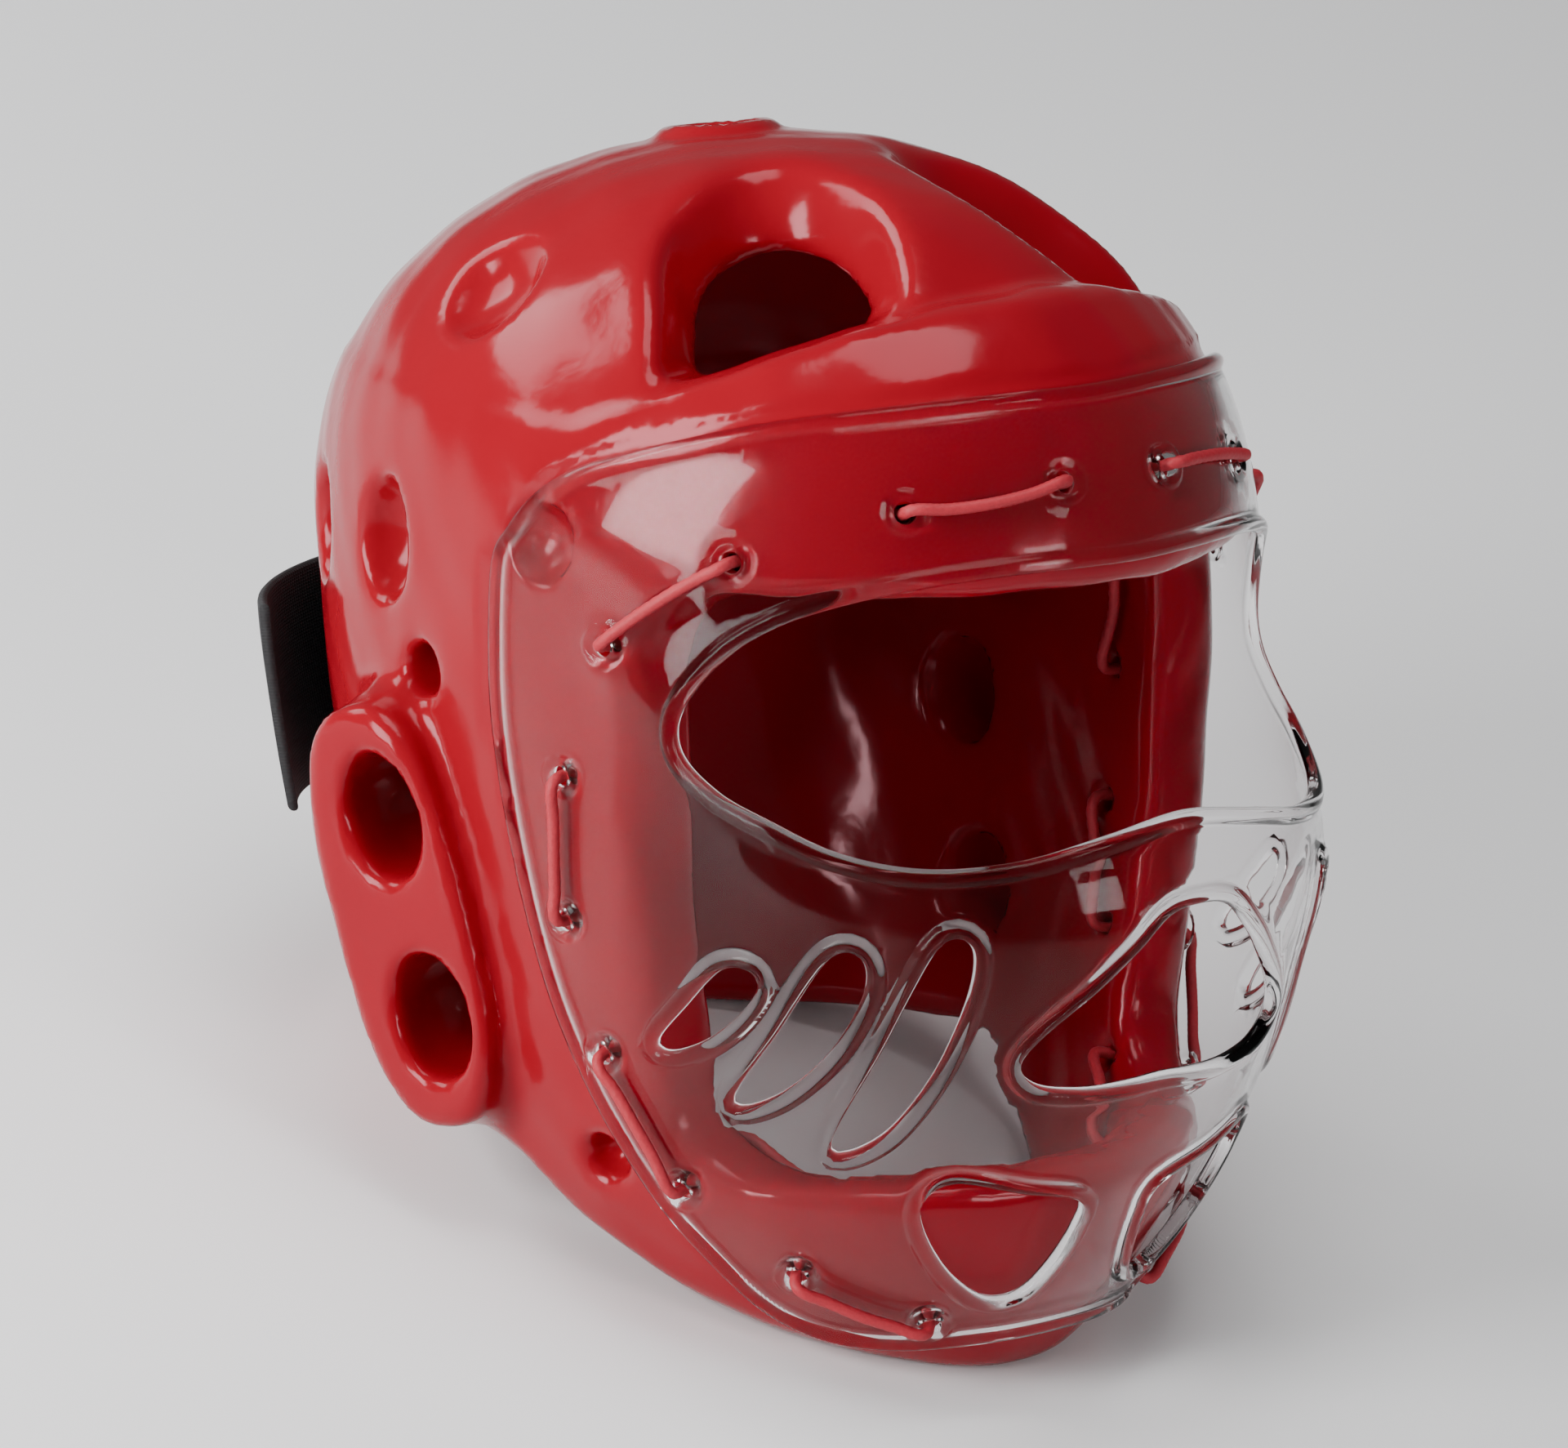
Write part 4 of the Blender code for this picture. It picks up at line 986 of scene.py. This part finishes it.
def build_lace(parent, shader):
    """Round braided cord: strands stand out in two crossing spirals."""
    fine = smooth_loop(lace_route(), 16)
    route, length = even_loop(fine, fine, LACE_RADIUS / 2)
    sides, count = 16, len(route)
    along = np.roll(route, -1, 0) - np.roll(route, 1, 0)
    along /= np.linalg.norm(along, axis=1, keepdims=True)
    side = np.zeros_like(route)
    guide = np.cross(along[0], (0, 0, 1))
    for i in range(count):
        guide = guide - along[i] * guide.dot(along[i])
        guide /= np.linalg.norm(guide)
        side[i] = guide
    other = np.cross(along, side)
    turn = 2 * math.pi * np.arange(sides) / sides
    run = np.arange(count)[:, None] * length / count
    spiral = 2 * math.pi * run / BRAID_LAY
    weave = np.abs(np.cos(2 * turn + spiral)) * np.abs(np.cos(2 * turn - spiral))
    radius = LACE_RADIUS * (0.90 + 0.14 * np.sqrt(weave))
    points = (route[:, None] + radius[..., None] * (
        np.cos(turn)[None, :, None] * side[:, None] + np.sin(turn)[None, :, None] * other[:, None]))
    ring = np.arange(count)[:, None] * sides
    k = np.arange(sides)[None]
    following = (np.arange(count)[:, None] + 1) % count * sides
    faces = np.stack([ring + k, ring + (k + 1) % sides, following + (k + 1) % sides, following + k], 2)
    return mesh_object("braided_lace", points.reshape(-1, 3), faces.reshape(-1, 4), shader, parent)


# Strap


def strap_standoff(azimuth, mirrored):
    """Standoff of a strap that starts in the left slot, or in the right one if mirrored."""
    from_slot = 360 - azimuth if mirrored else azimuth
    share = (from_slot - STRAP_START) / (180 - STRAP_START)
    return STRAP_STANDOFF * row_at(STRAP_SECTIONS, share)[..., 0]


def hook_standoff(azimuth):
    """Standoff of the outer strap, which steps over the inner one and whose end stands off."""
    step = smooth_step((azimuth - HOOK_STEP_START) / (HOOK_STEP_END - HOOK_STEP_START))
    lift = smooth_step((azimuth - HOOK_FREE) / (HOOK_END - HOOK_FREE))
    return strap_standoff(azimuth, False) + (STRAP_THICKNESS + 2 * GAP) * step + HOOK_LIFT * lift


def build_strap(name, first, last, standoff, shader, parent):
    """Band of webbing with round edges."""
    steps = int((last - first) * 1.6)
    profile = []
    half, thick, round_edge = STRAP_WIDTH / 2, STRAP_THICKNESS, STRAP_THICKNESS / 2
    for level in np.linspace(-half + round_edge, half - round_edge, 42):
        profile.append((level, thick))
    for turn in np.radians((60, 30, 0, -30, -60)):
        profile.append((half - round_edge + round_edge * math.cos(turn), round_edge * (1 + math.sin(turn))))
    for level in np.linspace(half - round_edge, -half + round_edge, 12):
        profile.append((level, 0.0))
    for turn in np.radians((240, 210, 180, 150, 120)):
        profile.append((-half + round_edge + round_edge * math.cos(turn), round_edge * (1 + math.sin(turn))))
    profile = np.array(profile)
    azimuths = np.linspace(first, last, steps + 1)[:, None]
    levels = STRAP_HEIGHT + profile[None, :, 0]
    radius = skin_radius(azimuths, levels) + standoff(azimuths) + profile[None, :, 1]
    turn = np.radians(azimuths)
    points = np.stack(np.broadcast_arrays(radius * np.sin(turn), -radius * np.cos(turn), levels), -1)
    count = len(profile)
    ring = np.arange(steps)[:, None] * count
    k = np.arange(count)[None]
    faces = np.stack([ring + k, ring + count + k, ring + count + (k + 1) % count,
                      ring + (k + 1) % count], 2).reshape(-1, 4).tolist()
    faces.append(list(range(count)))
    faces.append(list(range(steps * count, (steps + 1) * count))[::-1])
    band = mesh_object(name, points.reshape(-1, 3), faces, shader, parent)
    layer = band.data.uv_layers.new(name="UVMap")
    lengths = np.radians(azimuths[:, 0] - first) * REAR_REACH
    for loop in band.data.loops:
        row, column = divmod(loop.vertex_index, count)
        layer.data[loop.index].uv = (lengths[row], profile[column, 0])
    return band


# Materials


def new_material(name):
    shader = bpy.data.materials.new(name)
    shader.use_nodes = True
    return shader, shader.node_tree.nodes, shader.node_tree.links, shader.node_tree.nodes["Principled BSDF"]


def noise(nodes, links, vector, scale, detail=2.0):
    node = nodes.new("ShaderNodeTexNoise")
    node.inputs["Scale"].default_value = scale
    node.inputs["Detail"].default_value = detail
    links.new(vector, node.inputs["Vector"])
    return node.outputs["Fac"]


def bump(nodes, links, height, strength, distance, normal=None):
    node = nodes.new("ShaderNodeBump")
    node.inputs["Strength"].default_value = strength
    node.inputs["Distance"].default_value = distance
    links.new(height, node.inputs["Height"])
    if normal:
        links.new(normal, node.inputs["Normal"])
    return node.outputs["Normal"]


def mix_colour(nodes, links, factor, first, second):
    node = nodes.new("ShaderNodeMix")
    node.data_type = "RGBA"
    links.new(factor, node.inputs["Factor"])
    node.inputs[6].default_value = (*first, 1)
    node.inputs[7].default_value = (*second, 1)
    return node.outputs[2]


def foam_material():
    shader, nodes, links, principled = new_material("dipped_foam")
    where = nodes.new("ShaderNodeTexCoord").outputs["Object"]
    patches = noise(nodes, links, where, 14, 3)
    links.new(mix_colour(nodes, links, patches, *FOAM_COLOURS),
              principled.inputs["Base Color"])
    principled.inputs["Roughness"].default_value = 0.15
    principled.inputs["IOR"].default_value = 1.34
    principled.inputs["Specular Tint"].default_value = (1.0, 0.55, 0.60, 1)
    peel = bump(nodes, links, noise(nodes, links, where, 120, 2), 0.20, 0.0006)
    fine = bump(nodes, links, noise(nodes, links, where, 520, 2), 0.10, 0.0002, peel)
    links.new(fine, principled.inputs["Normal"])
    return shader


def clear_material():
    shader, nodes, links, principled = new_material("clear_sheet")
    where = nodes.new("ShaderNodeTexCoord").outputs["Object"]
    principled.inputs["Base Color"].default_value = (*CLEAR_COLOUR, 1)
    principled.inputs["Roughness"].default_value = 0.02
    principled.inputs["IOR"].default_value = 1.27
    principled.inputs["Specular Tint"].default_value = (0.40, 0.40, 0.40, 1)
    principled.inputs["Transmission Weight"].default_value = 1.0
    links.new(bump(nodes, links, noise(nodes, links, where, 45, 2), 0.10, 0.0010),
              principled.inputs["Normal"])
    return shader


def lace_material():
    shader, nodes, links, principled = new_material("cord")
    where = nodes.new("ShaderNodeTexCoord").outputs["Object"]
    fibres = noise(nodes, links, where, 1400, 2)
    links.new(mix_colour(nodes, links, fibres, *LACE_COLOURS),
              principled.inputs["Base Color"])
    principled.inputs["Roughness"].default_value = 0.62
    links.new(bump(nodes, links, fibres, 0.5, 0.0002), principled.inputs["Normal"])
    return shader


def webbing_material():
    shader, nodes, links, principled = new_material("webbing")
    coordinates = nodes.new("ShaderNodeTexCoord").outputs["UV"]
    heights = []
    for direction, scale in (("X", 260), ("Y", 420)):
        wave = nodes.new("ShaderNodeTexWave")
        wave.bands_direction = direction
        wave.inputs["Scale"].default_value = scale
        wave.inputs["Distortion"].default_value = 0.6
        links.new(coordinates, wave.inputs["Vector"])
        heights.append(wave.outputs["Fac"])
    product = nodes.new("ShaderNodeMath")
    product.operation = "MULTIPLY"
    links.new(heights[0], product.inputs[0])
    links.new(heights[1], product.inputs[1])
    links.new(mix_colour(nodes, links, product.outputs[0], *WEBBING_COLOURS),
              principled.inputs["Base Color"])
    principled.inputs["Roughness"].default_value = 0.8
    fuzz = noise(nodes, links, nodes.new("ShaderNodeTexCoord").outputs["Object"], 900, 3)
    weave = bump(nodes, links, product.outputs[0], 0.6, 0.0004)
    links.new(bump(nodes, links, fuzz, 0.35, 0.0004, weave), principled.inputs["Normal"])
    return shader


def plain_material(name, colour, roughness):
    shader, _, _, principled = new_material(name)
    principled.inputs["Base Color"].default_value = (*colour, 1)
    principled.inputs["Roughness"].default_value = roughness
    return shader


# Studio


def worn_matrix():
    """How the worn guard leans back onto its chin and nape: read off the CAD frame's own box."""
    lean = Matrix.Rotation(-math.atan(floor_slope()), 4, "X")
    return Matrix.Translation((0.0, 0.00725, 0.11005)) @ lean


def add_softbox(name, place, size, power):
    data = bpy.data.lights.new(name, "AREA")
    data.shape = "RECTANGLE"
    data.size, data.size_y = size
    data.energy = power
    light = bpy.data.objects.new(name, data)
    light.location = place
    light.rotation_euler = (Vector(AIM) - Vector(place)).to_track_quat("-Z", "Y").to_euler()
    bpy.context.scene.collection.objects.link(light)


def add_camera(worn):
    """The photo's camera, to the wearer's right of the front and above eye level."""
    turn, rise = math.radians(CAMERA_AZIMUTH), math.radians(CAMERA_RISE)
    right = Vector((math.cos(turn), -math.sin(turn), 0))
    back = Vector((-math.sin(turn) * math.cos(rise), -math.cos(turn) * math.cos(rise), math.sin(rise)))
    up = back.cross(right)
    axes = Matrix((right, up, back)).transposed().to_4x4()
    data = bpy.data.cameras.new("camera")
    data.sensor_width = 36
    data.lens = data.sensor_width * PIXELS_PER_METRE * CAMERA_DISTANCE / PHOTO_WIDTH
    data.shift_x = 0.5 - HEAD_COLUMN / PHOTO_WIDTH
    data.shift_y = (HEAD_ROW - PHOTO_HEIGHT / 2) / PHOTO_WIDTH
    camera = bpy.data.objects.new("camera", data)
    camera.matrix_world = worn @ Matrix.Translation(back * CAMERA_DISTANCE) @ axes
    bpy.context.scene.collection.objects.link(camera)
    bpy.context.scene.camera = camera


def add_studio():
    half = FLOOR_SIZE / 2
    data = bpy.data.meshes.new("floor")
    data.from_pydata([(-half, -half, 0), (half, -half, 0), (half, half, 0), (-half, half, 0)], [],
                     [(0, 1, 2, 3)])
    data.materials.append(plain_material("floor", FLOOR_COLOUR, 0.6))
    floor = bpy.data.objects.new("floor", data)
    bpy.context.scene.collection.objects.link(floor)
    world = bpy.data.worlds.new("studio")
    world.use_nodes = True
    background = world.node_tree.nodes["Background"]
    background.inputs["Color"].default_value = (1, 1, 1, 1)
    background.inputs["Strength"].default_value = WORLD_STRENGTH
    bpy.context.scene.world = world
    for name, softbox in SOFTBOXES.items():
        add_softbox(name, *softbox)


def main():
    worn = bpy.data.objects.new("worn", None)
    bpy.context.scene.collection.objects.link(worn)
    worn.matrix_world = worn_matrix()
    foam = foam_material()
    webbing = webbing_material()
    guard = build_guard(worn, foam)
    mask = build_mask(worn, clear_material())
    lace = build_lace(worn, lace_material())
    loop = build_strap("loop_strap", LOOP_END, 360 - STRAP_START,
                       lambda azimuth: strap_standoff(azimuth, True), webbing, worn)
    hook = build_strap("hook_strap", STRAP_START, HOOK_END, hook_standoff, webbing, worn)
    bpy.context.view_layer.update()
    pieces = (
        (guard, "dipped_foam", ("guard_shell", "ear_pad_left", "ear_pad_right")),
        (mask, "clear_sheet", ("face_mask",)),
        (lace, "cord", ("lace",)),
        (loop, "webbing", ("strap_loop",)),
        (hook, "webbing", ("strap_hook",)),
    )
    for piece, slot, nodes in pieces:
        piece.data.transform(worn.matrix_world)
        piece.parent = None
        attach(piece, "root")
        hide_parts(*nodes)
    add_studio()
    add_camera(worn.matrix_world.copy())
    bpy.data.objects.remove(worn)


main()
